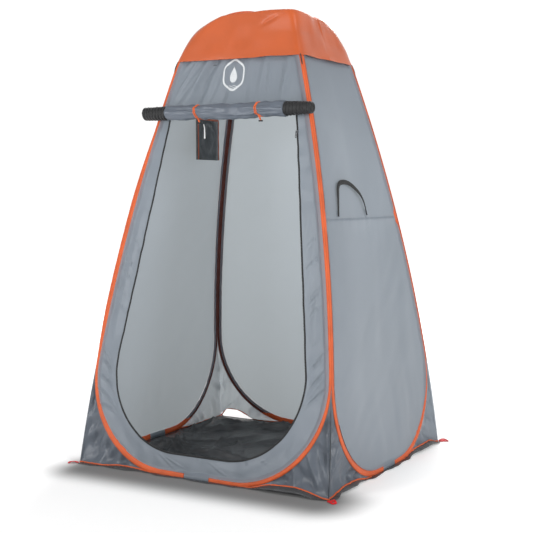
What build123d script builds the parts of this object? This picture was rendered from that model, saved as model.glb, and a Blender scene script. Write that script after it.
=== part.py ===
from build123d import *

import math
import os

# Pop-up privacy and shower tent: four closed spring-steel hoops in fabric sleeves, one to a wall,
# with a fly cap over their tops. Millimetres, +Z up, origin on the ground under the middle of the
# tent, doorway towards -Y, left and right as seen by someone who faces the doorway.

os.makedirs("parts", exist_ok=True)

# ---------------------------------------------------------------- driving dimensions
HALF_WIDTH = 600.0          # ground corner, measured along X
MID_HALF_WIDTH = 487.0      # outside of a side wall at MID_HEIGHT
TOP_HALF_WIDTH = 233.0      # outside of a side wall at twice MID_HEIGHT
MID_HEIGHT = 970.0
HALF_DEPTH = 575.0          # outside of the front and back walls on the ground
LEAN = 0.19                 # front and back walls lean in by this much per unit of height
CORNER_TOP = 1700.0         # height up to which neighbouring hoops touch along a corner
FRONT_ARCH = 1925.0         # top of the front and back hoops
SIDE_ARCH = 1909.0          # top of the left and right hoops
FRONT_FOOT_RADIUS = 400.0   # lower corners of the front and back hoops
SIDE_FOOT_RADIUS = 370.0    # lower corners of the left and right hoops
GUSSET_TOP = 600.0          # above the height where a hoop leaves its corner

WALL = 8.0                  # depth of a wall where its sleeve is
EDGE_GAP = 1.5              # between a side wall's edge and the inside of the front or back wall
SLEEVE_WIDTH = 26.0
SLEEVE_SKIN = 2.0
POCKET_EDGE = 5.0           # from the sleeve's outline to the channel that holds the steel
STRIP_EDGE = 7.0            # from the sleeve's outline to the steel strip
STRIP_WIDTH = 10.0
STRIP_DEPTH = (3.2, 4.8)    # where the steel strip lies within the wall's depth
PANEL_DEPTH = (2.5, 5.5)    # where a fabric panel lies within the wall's depth
SEAM_GAP = 0.3              # between pieces that are sewn edge to edge
SLEEVE_OPENING = 60.0       # half the gap in a sleeve at the middle of the bottom
FERRULE_HALF = 35.0
HEM_HEIGHT = 6.0
HEM_DEPTH = (1.0, 7.0)

DOOR_TOP = 1487.0           # behind the rolled door
DOOR_WIDE_AT = 600.0
DOOR_WIDE_HALF = 432.0
ZIP_SPREAD = 1 / 7          # how much the doorway's sides spread for each unit of drop
DOOR_TOP_HALF = DOOR_WIDE_HALF - ZIP_SPREAD * (DOOR_TOP - DOOR_WIDE_AT)
DOOR_SILL = 95.0
DOOR_FOOT_RADIUS = 330.0
ZIP_WIDTH = 9.0
ZIP_DEPTH = (2.4, 5.6)

ROLL_RADIUS = 31.0
ROLL_HEIGHT = 1495.0
ROLL_CENTRE_X = -12.0
ROLL_HALF = 287.0
ROLL_END = 410.0
ROLL_STANDOFF = 1.8
TIE_X = (-144.0, 154.0)
TIE_WIDTH = 6.0
TIE_SKIN = 1.2

CAP_HEM = 1722.0
CAP_TOP = 1954.0
CAP_FRONT_SHOULDER = 1928.0 # where the cap leaves the plane of the front or back wall
CAP_SIDE_SHOULDER = 1898.0  # where it leaves a side wall
CAP_SKIN = 3.0
CAP_CLEARANCE = 2.0
CAP_BEND = (0.93, 0.62)     # middle of the arc over a shoulder, as shares of its width and rise
CAP_BROW = (0.76, 0.88)     # top of that arc

FAR = 700.0                 # long enough to pass through the whole tent


# ---------------------------------------------------------------- shape of the walls
def circle_through(x0, x1, x2, step):
    """Radius, centre x and centre z of the circle through (x0, 0), (x1, step), (x2, 2*step)."""
    chord = math.hypot(x2 - x0, 2 * step)
    sagitta = (x1 - (x0 + x2) / 2) * 2 * step / chord
    radius = (chord ** 2 / 4 + sagitta ** 2) / (2 * sagitta)
    centre_x = (x0 + x2) / 2 - (radius - sagitta) * 2 * step / chord
    centre_z = step - (radius - sagitta) * (x0 - x2) / chord
    return radius, centre_x, centre_z


BOW_RADIUS, BOW_X, BOW_Z = circle_through(HALF_WIDTH, MID_HALF_WIDTH, TOP_HALF_WIDTH, MID_HEIGHT)


def side_x(z):
    """Half-width of the tent at height z, to the outside of a side wall."""
    return BOW_X + math.sqrt(BOW_RADIUS ** 2 - (z - BOW_Z) ** 2)


def front_y(z):
    """Half-depth of the tent at height z, to the outside of the front or back wall."""
    return HALF_DEPTH - LEAN * z


def side_edge(z):
    """Half-depth of a side wall at height z."""
    return front_y(z) - WALL - EDGE_GAP


def flat_slab(sign, depth):
    """Profile in YZ of a leaning slab, between two depths measured in from the outside."""
    low, high = -50.0, FRONT_ARCH + 50.0
    with BuildSketch() as slab:
        with BuildLine():
            Polyline(
                (sign * (front_y(low) - depth[0]), low),
                (sign * (front_y(high) - depth[0]), high),
                (sign * (front_y(high) - depth[1]), high),
                (sign * (front_y(low) - depth[1]), low),
                close=True,
            )
        make_face()
    return slab.sketch


def bowed_slab(sign, depth):
    """Profile in XZ of a bowed side wall, between two depths measured in from the outside."""
    low, middle, high = -50.0, MID_HEIGHT, SIDE_ARCH + 50.0
    outer = [(sign * (side_x(z) - depth[0]), z) for z in (low, middle, high)]
    inner = [(sign * (side_x(z) - depth[1]), z) for z in (high, middle, low)]
    with BuildSketch() as slab:
        with BuildLine():
            ThreePointArc(*outer)
            Line(outer[2], inner[0])
            ThreePointArc(*inner)
            Line(inner[2], outer[0])
        make_face()
    return slab.sketch


def front_hoop_outline():
    """Egg-shaped outline of the front or back hoop's sleeve, in XZ."""
    top, half_way = side_x(CORNER_TOP), side_x(CORNER_TOP / 2)
    with BuildSketch() as outline:
        with BuildLine():
            ThreePointArc((-HALF_WIDTH, 0), (-half_way, CORNER_TOP / 2), (-top, CORNER_TOP))
            ThreePointArc((-top, CORNER_TOP), (0, FRONT_ARCH), (top, CORNER_TOP))
            ThreePointArc((top, CORNER_TOP), (half_way, CORNER_TOP / 2), (HALF_WIDTH, 0))
            Line((HALF_WIDTH, 0), (-HALF_WIDTH, 0))
        make_face()
        fillet(outline.vertices().group_by(Axis.Y)[0], radius=FRONT_FOOT_RADIUS)
    return outline.sketch


def side_hoop_outline():
    """Egg-shaped outline of the left or right hoop's sleeve, in YZ."""
    foot, top = side_edge(0), side_edge(CORNER_TOP)
    with BuildSketch() as outline:
        with BuildLine():
            Line((-foot, 0), (-top, CORNER_TOP))
            ThreePointArc((-top, CORNER_TOP), (0, SIDE_ARCH), (top, CORNER_TOP))
            Line((top, CORNER_TOP), (foot, 0))
            Line((foot, 0), (-foot, 0))
        make_face()
        fillet(outline.vertices().group_by(Axis.Y)[0], radius=SIDE_FOOT_RADIUS)
    return outline.sketch


def front_foot_outline(bottom, top):
    """Stretch of the front or back wall between two heights, in XZ, out to the tent's corners."""
    half_way = side_x((bottom + top) / 2)
    with BuildSketch() as outline:
        with BuildLine():
            ThreePointArc((-side_x(bottom), bottom), (-half_way, (bottom + top) / 2), (-side_x(top), top))
            Line((-side_x(top), top), (side_x(top), top))
            ThreePointArc((side_x(top), top), (half_way, (bottom + top) / 2), (side_x(bottom), bottom))
            Line((side_x(bottom), bottom), (-side_x(bottom), bottom))
        make_face()
    return outline.sketch


def side_foot_outline(bottom, top):
    """Stretch of a side wall between two heights, in YZ, out to its edges."""
    with BuildSketch() as outline:
        with BuildLine():
            Polyline(
                (-side_edge(bottom), bottom),
                (-side_edge(top), top),
                (side_edge(top), top),
                (side_edge(bottom), bottom),
                close=True,
            )
        make_face()
    return outline.sketch


def door_outline():
    """Doorway in XZ: straight sides that spread towards the ground, and a rounded foot."""
    foot = DOOR_TOP_HALF + ZIP_SPREAD * (DOOR_TOP - DOOR_SILL)
    with BuildSketch() as outline:
        with BuildLine():
            Polyline(
                (-DOOR_TOP_HALF, DOOR_TOP),
                (DOOR_TOP_HALF, DOOR_TOP),
                (foot, DOOR_SILL),
                (-foot, DOOR_SILL),
                close=True,
            )
        make_face()
        fillet(outline.vertices().group_by(Axis.Y)[0], radius=DOOR_FOOT_RADIUS)
    return outline.sketch


def grown(outline, amount):
    """Outline moved outwards by amount, or inwards if amount is negative."""
    with BuildSketch() as result:
        offset(outline, amount=amount, kind=Kind.INTERSECTION)
    return result.sketch


def band(outline, start, width):
    """Band that follows an outline, from start to start + width inside it."""
    with BuildSketch() as result:
        add(outline if start == 0 else grown(outline, -start))
        add(grown(outline, -start - width), mode=Mode.SUBTRACT)
    return result.sketch


def window(half, low, high):
    """Rectangle about the middle of a wall, between two heights."""
    with BuildSketch() as result:
        with Locations((0, (low + high) / 2)):
            Rectangle(2 * half, high - low)
    return result.sketch


FRONT_HOOP = front_hoop_outline()
SIDE_HOOP = side_hoop_outline()
DOOR = door_outline()

# Each wall: the plane that it is seen square on, the plane of its slab, the slab, the outline of
# its hoop, the outline of its foot, and the side of the tent that it stands on.
WALLS = {
    "front": (Plane.XZ, Plane.YZ, flat_slab, FRONT_HOOP, front_foot_outline, -1),
    "back": (Plane.XZ, Plane.YZ, flat_slab, FRONT_HOOP, front_foot_outline, 1),
    "left": (Plane.YZ, Plane.XZ, bowed_slab, SIDE_HOOP, side_foot_outline, -1),
    "right": (Plane.YZ, Plane.XZ, bowed_slab, SIDE_HOOP, side_foot_outline, 1),
}


def wall_piece(wall, depth, outline, cut=None):
    """Piece of one wall: the slab between two depths, cut to an outline seen square on."""
    face, edge, make_slab, _, _, sign = WALLS[wall]
    slab = make_slab(sign, depth)
    with BuildPart() as piece:
        with BuildSketch(edge):
            add(slab)
        extrude(amount=FAR, both=True)
        with BuildSketch(face):
            add(outline)
        extrude(amount=FAR, both=True, mode=Mode.INTERSECT)
        if cut is not None:
            with BuildSketch(face):
                add(cut)
            extrude(amount=FAR, both=True, mode=Mode.SUBTRACT)
    return piece.part


def save(part, name):
    """Write one piece as its own STEP file."""
    part.label = name
    export_step(part, f"parts/{name}.step")


# ---------------------------------------------------------------- one wall after another
def make_panel(wall):
    """Wall fabric inside the sleeve, with the doorway cut out of the front one."""
    inside = grown(WALLS[wall][3], -SLEEVE_WIDTH - SEAM_GAP)
    cut = grown(DOOR, ZIP_WIDTH + SEAM_GAP) if wall == "front" else None
    save(wall_piece(wall, PANEL_DEPTH, inside, cut), f"{wall}_panel")


def make_hoop(wall):
    """Flat spring-steel strip, bent on its wall's face into a closed loop."""
    save(wall_piece(wall, STRIP_DEPTH, band(WALLS[wall][3], STRIP_EDGE, STRIP_WIDTH)), f"{wall}_hoop")


def make_sleeve(wall):
    """Fabric tube around the strip, open at the middle of the bottom where the strip is joined."""
    outline = WALLS[wall][3]
    gap = window(SLEEVE_OPENING, -10, SLEEVE_WIDTH + 10)
    channel_width = SLEEVE_WIDTH - 2 * POCKET_EDGE
    with BuildPart() as sleeve:
        add(wall_piece(wall, (0, WALL), band(outline, 0, SLEEVE_WIDTH), gap))
        add(
            wall_piece(wall, (SLEEVE_SKIN, WALL - SLEEVE_SKIN), band(outline, POCKET_EDGE, channel_width)),
            mode=Mode.SUBTRACT,
        )
    save(sleeve.part, f"{wall}_sleeve")


def make_ferrule(wall):
    """Crimped flat tube that joins the two ends of the strip."""
    rim, room = 1.5, 0.1
    low, high = STRIP_EDGE, STRIP_EDGE + STRIP_WIDTH
    bore_depth = (STRIP_DEPTH[0] - room, STRIP_DEPTH[1] + room)
    with BuildPart() as ferrule:
        add(wall_piece(wall, (2.3, 5.7), window(FERRULE_HALF, low - rim, high + rim)))
        add(wall_piece(wall, bore_depth, window(FERRULE_HALF + rim, low - room, high + room)), mode=Mode.SUBTRACT)
    save(ferrule.part, f"{wall}_hoop_ferrule")


def make_patch(wall):
    """Two faces of wall fabric that close the gap in the sleeve over the joined strip."""
    cover = window(SLEEVE_OPENING - SEAM_GAP, 0, SLEEVE_WIDTH)
    with BuildPart() as patch:
        add(wall_piece(wall, (0.2, 1.7), cover))
        add(wall_piece(wall, (WALL - 1.7, WALL - 0.2), cover))
    save(patch.part, f"{wall}_sleeve_patch")


def make_gussets(wall):
    """Corner fabric outside the hoop's rounded foot, one half on each side, and the hem below it."""
    face, _, _, hoop, foot, _ = WALLS[wall]
    hoop_cut = grown(hoop, SEAM_GAP)
    ends = ("left", "right") if face == Plane.XZ else ("front", "rear")
    across = Axis.X if face == Plane.XZ else Axis.Y
    corners = wall_piece(wall, PANEL_DEPTH, foot(HEM_HEIGHT + SEAM_GAP, GUSSET_TOP), hoop_cut)
    pair = corners.solids().sort_by(SortBy.VOLUME)[-2:].sort_by(across)
    for solid, end in zip(pair, ends):
        with BuildPart() as gusset:
            add(solid)
        save(gusset.part, f"{wall}_gusset_{end}")
    save(wall_piece(wall, HEM_DEPTH, foot(0, HEM_HEIGHT), hoop_cut), f"{wall}_hem")


for wall in WALLS:
    make_panel(wall)
    make_hoop(wall)
    make_sleeve(wall)
    make_ferrule(wall)
    make_patch(wall)
    make_gussets(wall)


# ---------------------------------------------------------------- door
save(wall_piece("front", ZIP_DEPTH, grown(DOOR, ZIP_WIDTH), DOOR), "door_zip")

# The plane of the front wall's outer face, with x across and y up the slope.
UP_SLOPE = Vector(0, LEAN, 1).normalized()
OUTWARD = Vector(0, -1, LEAN).normalized()


def face_plane(x, z, standoff):
    """Plane parallel to the front wall, its origin standoff out from the wall at height z."""
    origin = Vector(x, -front_y(z), z) + OUTWARD * standoff
    return Plane(origin=origin, x_dir=(1, 0, 0), z_dir=OUTWARD)


def roll_plane(x):
    """Plane across the rolled door at x."""
    centre = Vector(x, -front_y(ROLL_HEIGHT), ROLL_HEIGHT) + OUTWARD * (ROLL_RADIUS + ROLL_STANDOFF)
    return Plane(origin=centre, x_dir=(0, 1, 0), z_dir=(1, 0, 0))


with BuildPart() as door_roll:
    with BuildSketch(roll_plane(ROLL_CENTRE_X)):
        Circle(ROLL_RADIUS)
    extrude(amount=ROLL_HALF, both=True)
save(door_roll.part, "door_roll")

TAPE_TURNS = 8
TAPE_TURN = (ROLL_END - ROLL_HALF - SEAM_GAP) / TAPE_TURNS
for side, name in ((-1, "zip_tape_end_left"), (1, "zip_tape_end_right")):
    with BuildPart() as tape_end:
        for turn in range(TAPE_TURNS):
            start = ROLL_CENTRE_X + side * (ROLL_HALF + SEAM_GAP + turn * TAPE_TURN)
            radius = ROLL_RADIUS - 0.7 * turn
            with BuildSketch(roll_plane(start)):
                Circle(radius)
            extrude(amount=side * TAPE_TURN * 0.7)
            with BuildSketch(roll_plane(start)):
                Circle(radius - 2)
            extrude(amount=side * TAPE_TURN)
    save(tape_end.part, name)

for x, name in zip(TIE_X, ("left", "right")):
    with BuildPart() as tie_loop:
        with BuildSketch(roll_plane(x)):
            Circle(ROLL_RADIUS + 0.3 + TIE_SKIN)
            Circle(ROLL_RADIUS + 0.3, mode=Mode.SUBTRACT)
        extrude(amount=TIE_WIDTH / 2, both=True)
    save(tie_loop.part, f"tie_loop_{name}")

TOGGLE_HEIGHT = 1452.0
TOGGLE_STANDOFF = 16.0
TOGGLE_LENGTH = 22.0
TOGGLE_RADIUS = 3.2
for x, name in zip(TIE_X, ("left", "right")):
    toggle_plane = face_plane(x, TOGGLE_HEIGHT, TOGGLE_STANDOFF)
    with BuildPart() as toggle:
        with BuildSketch(Plane(origin=toggle_plane.origin, x_dir=(0, 1, 0), z_dir=(1, 0, 0))):
            Circle(TOGGLE_RADIUS)
        extrude(amount=TOGGLE_LENGTH / 2, both=True)
        fillet(toggle.edges().filter_by(GeomType.CIRCLE), radius=1.2)
    save(toggle.part, f"tie_toggle_{name}")

# Care label, hanging below the left tie loop, behind the front wall.
LABEL_SIZE = (34.0, 62.0)
LABEL_TOP = 1452.0
with BuildPart() as care_label:
    with BuildSketch(Plane.XZ.offset(front_y(LABEL_TOP) - WALL - 6)):
        with Locations((TIE_X[0] + 4, LABEL_TOP - LABEL_SIZE[1] / 2)):
            Rectangle(*LABEL_SIZE)
    extrude(amount=-0.8)
save(care_label.part, "care_label")

# Zip slider on the right-hand side of the doorway, with a pull on each face.
SLIDER_TOP = 1412.0
SLIDER_SIZE = (13.0, 12.0)
SLIDER_X = DOOR_TOP_HALF + ZIP_SPREAD * (DOOR_TOP - SLIDER_TOP)
SLIDER_TILT = math.degrees(math.atan(ZIP_SPREAD))
SLIDER_DEPTH = (0.2, 7.8)
SLOT_DEPTH = (ZIP_DEPTH[0] - 0.4, ZIP_DEPTH[1] + 0.4)


with BuildSketch() as slider_block:
    with Locations((SLIDER_X, SLIDER_TOP - SLIDER_SIZE[1] / 2)):
        Rectangle(*SLIDER_SIZE, rotation=SLIDER_TILT)
with BuildSketch() as slider_slot:
    with Locations((SLIDER_X + SLIDER_SIZE[0] / 2, SLIDER_TOP - SLIDER_SIZE[1] / 2)):
        Rectangle(SLIDER_SIZE[0] + 4, 3 * SLIDER_SIZE[1], rotation=SLIDER_TILT)
with BuildPart() as zip_slider:
    add(wall_piece("front", SLIDER_DEPTH, slider_block.sketch))
    add(wall_piece("front", SLOT_DEPTH, slider_slot.sketch), mode=Mode.SUBTRACT)
save(zip_slider.part, "zip_slider")

PULL_SIZE = (7.0, 30.0, 1.4)
PULL_DROP = 2.0
PULL_HEIGHT = SLIDER_TOP - PULL_DROP
outer_plane = face_plane(SLIDER_X, PULL_HEIGHT, 1.6)
inner_origin = (SLIDER_X, WALL + 4 - front_y(PULL_HEIGHT), PULL_HEIGHT)
inner_plane = Plane(origin=inner_origin, x_dir=(1, 0, 0), z_dir=(0, -1, 0))
for name, pull_plane in (("zip_pull_outer", outer_plane), ("zip_pull_inner", inner_plane)):
    with BuildPart() as zip_pull:
        with BuildSketch(pull_plane):
            with Locations((0, -PULL_SIZE[1] / 2)):
                RectangleRounded(PULL_SIZE[0], PULL_SIZE[1], 3)
            with Locations((0, 6 - PULL_SIZE[1])):
                SlotOverall(6, 3, rotation=90, mode=Mode.SUBTRACT)
        extrude(amount=PULL_SIZE[2])
    save(zip_pull.part, name)


# ---------------------------------------------------------------- fly cap, vent and floor
def cap_profile(hem_half, shoulder_half, shoulder_height, inset):
    """Arched profile of the cap in one view, inset by the thickness of its cloth."""
    shoulder, crown = shoulder_height - inset, CAP_TOP - inset
    wide, arm = hem_half - inset, shoulder_half - inset
    bend, brow = [(x * arm, shoulder + rise * (crown - shoulder)) for x, rise in (CAP_BEND, CAP_BROW)]
    with BuildSketch() as profile:
        with BuildLine():
            Line((wide, CAP_HEM), (arm, shoulder))
            ThreePointArc((arm, shoulder), bend, brow)
            ThreePointArc(brow, (0, crown), (-brow[0], brow[1]))
            ThreePointArc((-brow[0], brow[1]), (-bend[0], bend[1]), (-arm, shoulder))
            Line((-arm, shoulder), (-wide, CAP_HEM))
            Line((-wide, CAP_HEM), (wide, CAP_HEM))
        make_face()
    return profile.sketch


def crossed(front_view, side_view):
    """Solid that has one profile from the front and another from the side."""
    with BuildPart() as solid:
        with BuildSketch(Plane.XZ):
            add(front_view)
        extrude(amount=FAR, both=True)
        with BuildSketch(Plane.YZ):
            add(side_view)
        extrude(amount=FAR, both=True, mode=Mode.INTERSECT)
    return solid.part


def cap_solid(inset):
    """Cap filled in, inset by the thickness of its cloth."""
    room = CAP_CLEARANCE + CAP_SKIN
    front_view = cap_profile(
        side_x(CAP_HEM) + room, side_x(CAP_SIDE_SHOULDER) + room, CAP_SIDE_SHOULDER, inset
    )
    side_view = cap_profile(
        front_y(CAP_HEM) + room, front_y(CAP_FRONT_SHOULDER) + room, CAP_FRONT_SHOULDER, inset
    )
    return crossed(front_view, side_view)


with BuildPart() as rain_cap:
    add(cap_solid(0))
    add(cap_solid(CAP_SKIN), mode=Mode.SUBTRACT)
save(rain_cap.part, "rain_cap")

# Short elastic ties that hold the cap down at the four corners.
CAP_TIE_LENGTH = 46.0
with BuildPart() as cap_ties:
    for sx in (-1, 1):
        for sy in (-1, 1):
            foot_z = CAP_HEM - CAP_TIE_LENGTH
            with BuildSketch(Plane.XY.offset(CAP_HEM - 0.3)):
                with Locations((sx * (side_x(CAP_HEM) + 3.2), sy * (front_y(CAP_HEM) + 3.2))):
                    Circle(1.5)
            with BuildSketch(Plane.XY.offset(foot_z)):
                with Locations((sx * (side_x(foot_z) + 3.2), sy * (front_y(foot_z) + 3.2))):
                    Circle(1.5)
            loft()
save(cap_ties.part, "cap_ties")

# Mesh vent under the cap, sewn to the insides of the four arches.
VENT_RIM = 1700.0
VENT_RISE = 1790.0
VENT_INSET = 3.0
VENT_SKIN = 2.0


def vent_profile(half, inset):
    """Shallow arch between two opposite walls, starting at the vent's rim."""
    with BuildSketch() as profile:
        with BuildLine():
            ThreePointArc((inset - half, VENT_RIM), (0, VENT_RISE - inset), (half - inset, VENT_RIM))
            Line((half - inset, VENT_RIM), (inset - half, VENT_RIM))
        make_face()
    return profile.sketch


def vent_solid(inset):
    """Vent filled in, inset by the thickness of its mesh."""
    front_view = vent_profile(side_x(VENT_RIM) - WALL - VENT_INSET, inset)
    return crossed(front_view, vent_profile(front_y(VENT_RIM) - WALL - VENT_INSET, inset))


with BuildPart() as roof_mesh:
    add(vent_solid(0))
    add(vent_solid(VENT_SKIN), mode=Mode.SUBTRACT)
save(roof_mesh.part, "roof_mesh")

FLOOR_SKIN = 1.5
FLOOR_GAP = 1.5
with BuildPart() as floor_sheet:
    with BuildSketch():
        Rectangle(2 * (HALF_WIDTH - WALL - FLOOR_GAP), 2 * (HALF_DEPTH - WALL - FLOOR_GAP))
    extrude(amount=FLOOR_SKIN)
save(floor_sheet.part, "floor_sheet")


# ---------------------------------------------------------------- pocket on the left wall
POCKET_SIZE = (14.0, 180.0, 190.0)
POCKET_SKIN = 2.0
POCKET_TOP = 1500.0
POCKET_MIDDLE_Y = 62.0
POCKET_BACK = -(side_x(POCKET_TOP) - WALL - 4.0)
with BuildPart() as pocket_mesh:
    with Locations((POCKET_BACK, POCKET_MIDDLE_Y, POCKET_TOP)):
        Box(*POCKET_SIZE, align=(Align.MIN, Align.CENTER, Align.MAX))
    with Locations((POCKET_BACK + POCKET_SKIN, POCKET_MIDDLE_Y, POCKET_TOP)):
        Box(
            POCKET_SIZE[0] - 2 * POCKET_SKIN,
            POCKET_SIZE[1] - 2 * POCKET_SKIN,
            POCKET_SIZE[2] - POCKET_SKIN,
            align=(Align.MIN, Align.CENTER, Align.MAX),
            mode=Mode.SUBTRACT,
        )
save(pocket_mesh.part, "pocket_mesh")

BINDING = 9.0
with BuildPart() as pocket_binding:
    with BuildSketch(Plane.YZ.offset(POCKET_BACK + POCKET_SIZE[0] + 0.2)):
        with Locations((POCKET_MIDDLE_Y, POCKET_TOP - POCKET_SIZE[2] / 2)):
            Rectangle(POCKET_SIZE[1], POCKET_SIZE[2])
        with Locations((POCKET_MIDDLE_Y, POCKET_TOP - POCKET_SIZE[2] / 2 - BINDING / 2)):
            Rectangle(POCKET_SIZE[1] - 2 * BINDING, POCKET_SIZE[2] - BINDING, mode=Mode.SUBTRACT)
    extrude(amount=1.2)
save(pocket_binding.part, "pocket_binding")


# ---------------------------------------------------------------- strap and seam on the right wall
STRAP_FOOT = 1066.0
STRAP_TOP = 1219.0
STRAP_NEAR = -237.0
STRAP_FAR = 40.0
STRAP_WIDTH = 15.0
STRAP_DEPTH = (-4.2, -1.8)      # outside the wall
TAB_SIZE = (16.0, 30.0)
TAB_DEPTH = (-1.0, -0.2)
SEAM_HEIGHT = 1052.0
SEAM_TAPE = 12.0

# The loop stands up from two feet, its top nearer the front. The feet are cut square at the height
# of the hinge, so that they turn clear of the wall.
with BuildSketch() as strap_outline:
    with BuildLine() as strap_line:
        FilletPolyline(
            (STRAP_NEAR, STRAP_FOOT),
            (STRAP_NEAR + 52, STRAP_TOP - 16),
            (STRAP_NEAR + 150, STRAP_TOP),
            (STRAP_FAR - 4, STRAP_TOP - 76),
            (STRAP_FAR, STRAP_FOOT),
            radius=(24, 90, 60),
        )
        offset(amount=STRAP_WIDTH / 2, side=Side.BOTH, mode=Mode.REPLACE)
    make_face()
below_feet = window(FAR, STRAP_FOOT - 100, STRAP_FOOT)
save(wall_piece("right", STRAP_DEPTH, strap_outline.sketch, below_feet), "carry_strap")

with BuildSketch() as tab_outline:
    with Locations(*[(y, STRAP_FOOT + TAB_SIZE[1] / 2 - 4) for y in (STRAP_NEAR + 4, STRAP_FAR)]):
        Rectangle(*TAB_SIZE)
save(wall_piece("right", TAB_DEPTH, tab_outline.sketch), "strap_tabs")

# Tape over the horizontal seam of the right wall's fabric, between the two sides of its sleeve.
seam_half = side_edge(SEAM_HEIGHT + SEAM_TAPE / 2) - SLEEVE_WIDTH - 2
seam_outline = window(seam_half, SEAM_HEIGHT - SEAM_TAPE / 2, SEAM_HEIGHT + SEAM_TAPE / 2)
save(wall_piece("right", (PANEL_DEPTH[0] - 0.8, PANEL_DEPTH[0]), seam_outline), "right_seam_tape")


# ---------------------------------------------------------------- pegging loops at the corners
LOOP_LENGTH = 46.0
LOOP_WIDTH = 26.0
LOOP_THICK = 3.0
LOOP_HOLE = 5.0
LOOP_SPLAY = 35.0               # degrees out from the line of the front wall
for sy, wall in ((-1, "front"), (1, "back")):
    for sx, end in ((-1, "left"), (1, "right")):
        root = Vector(sx * (HALF_WIDTH + 1), sy * (HALF_DEPTH + 1), 0)
        along = Vector(sx, 0, 0).rotate(Axis.Z, sx * sy * LOOP_SPLAY)
        with BuildPart() as peg_loop:
            with BuildSketch(Plane(origin=root, x_dir=along, z_dir=(0, 0, 1))):
                with Locations((LOOP_LENGTH / 2, 0)):
                    RectangleRounded(LOOP_LENGTH, LOOP_WIDTH, 6)
                with Locations((LOOP_LENGTH - LOOP_WIDTH / 2, 0)):
                    Circle(LOOP_HOLE, mode=Mode.SUBTRACT)
            extrude(amount=LOOP_THICK)
        save(peg_loop.part, f"peg_loop_{wall}_{end}")
        hole = root + along * (LOOP_LENGTH - LOOP_WIDTH / 2)
        print("peg hole", wall, end, round(hole.X, 3), round(hole.Y, 3))

# ---------------------------------------------------------------- figures for the record
CHORD_TOP = 1750.0
chord_slope = (HALF_WIDTH - side_x(CHORD_TOP)) / CHORD_TOP
steps = [CHORD_TOP * i / 200 for i in range(201)]
bow = max(side_x(z) - HALF_WIDTH + chord_slope * z for z in steps)
print("corner chord slope", round(chord_slope, 5), "bow outside the chord", round(bow, 2))
for z in (SEAM_HEIGHT, STRAP_FOOT, 600, 1200, 1310, POCKET_TOP, 1680, CAP_HEM):
    print("height", z, "half-width", round(side_x(z), 2), "half-depth", round(front_y(z), 2))
print("slider x", round(SLIDER_X, 3), "zip spread", round(ZIP_SPREAD, 5))
print("pocket back", round(POCKET_BACK, 3), "outer pull", outer_plane.origin, "inner pull", inner_origin)
print("toggle", face_plane(TIE_X[0], TOGGLE_HEIGHT, TOGGLE_STANDOFF).origin)
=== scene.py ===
import math

import bpy
import numpy as np
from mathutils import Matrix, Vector


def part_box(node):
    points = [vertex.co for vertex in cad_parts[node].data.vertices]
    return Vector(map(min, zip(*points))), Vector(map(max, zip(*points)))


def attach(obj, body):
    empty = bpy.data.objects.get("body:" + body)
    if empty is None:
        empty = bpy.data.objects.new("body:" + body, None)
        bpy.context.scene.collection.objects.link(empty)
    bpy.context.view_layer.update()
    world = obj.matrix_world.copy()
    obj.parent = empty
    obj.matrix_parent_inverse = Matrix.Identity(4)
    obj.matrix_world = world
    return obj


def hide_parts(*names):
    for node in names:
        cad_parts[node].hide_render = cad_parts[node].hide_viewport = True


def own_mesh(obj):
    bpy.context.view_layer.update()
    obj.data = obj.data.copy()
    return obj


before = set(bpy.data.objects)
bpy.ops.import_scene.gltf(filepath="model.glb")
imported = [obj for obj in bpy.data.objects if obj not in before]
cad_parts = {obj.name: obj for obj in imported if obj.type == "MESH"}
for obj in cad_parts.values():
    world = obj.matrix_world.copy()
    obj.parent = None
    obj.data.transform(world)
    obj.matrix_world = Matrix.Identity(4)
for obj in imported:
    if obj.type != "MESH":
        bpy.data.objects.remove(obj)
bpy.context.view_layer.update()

# ---------------------------------------------------------------- driving dimensions, metres
# The same walls as in the CAD: the front and back lean in, the sides bow, and each wall carries
# one egg-shaped hoop in a sleeve.
HALF_WIDTH = 0.600
HALF_DEPTH = 0.575
LEAN = 0.19
BOW_RADIUS, BOW_X, BOW_Z = 7.0691, -6.4613, -0.3311
CORNER_TOP = 1.700
FRONT_ARCH = 1.925
SIDE_ARCH = 1.909
FRONT_FOOT = 0.400
SIDE_FOOT = 0.370
WALL = 0.008
EDGE_GAP = 0.0015
SLEEVE = 0.026
GAP = 0.060
MID = -0.004                # cloth lies in the middle of its wall's depth

DOOR_SPREAD = 1 / 7
DOOR_TOP = 1.487
DOOR_TOP_HALF = 0.432 - DOOR_SPREAD * (DOOR_TOP - 0.600)
DOOR_SILL, DOOR_FOOT = 0.095, 0.330
ZIP = 0.009

CAP_HEM, CAP_TOP = 1.722, 1.954
CAP_CORNER_X, CAP_CORNER_Y = 0.308, 0.2528    # where two walls meet, just under the cap's hem
TIE_LOW, TIE_HIGH = 1.680, 1.726              # ends of the cap's four elastic ties


# ---------------------------------------------------------------- noise
def smooth(x, low, high):
    """Ramp from 0 at low to 1 at high, level at both ends."""
    t = np.clip((x - low) / (high - low), 0, 1)
    return t * t * (3 - 2 * t)


def noise1(x, seed):
    """Smooth noise from -1 to 1 with one lattice point per unit."""
    x = np.asarray(x, float)
    table = np.random.default_rng(seed).uniform(-1, 1, 1024)
    i = np.floor(x).astype(int)
    f = x - i
    f = f * f * (3 - 2 * f)
    return table[i % 1024] * (1 - f) + table[(i + 1) % 1024] * f


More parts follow.
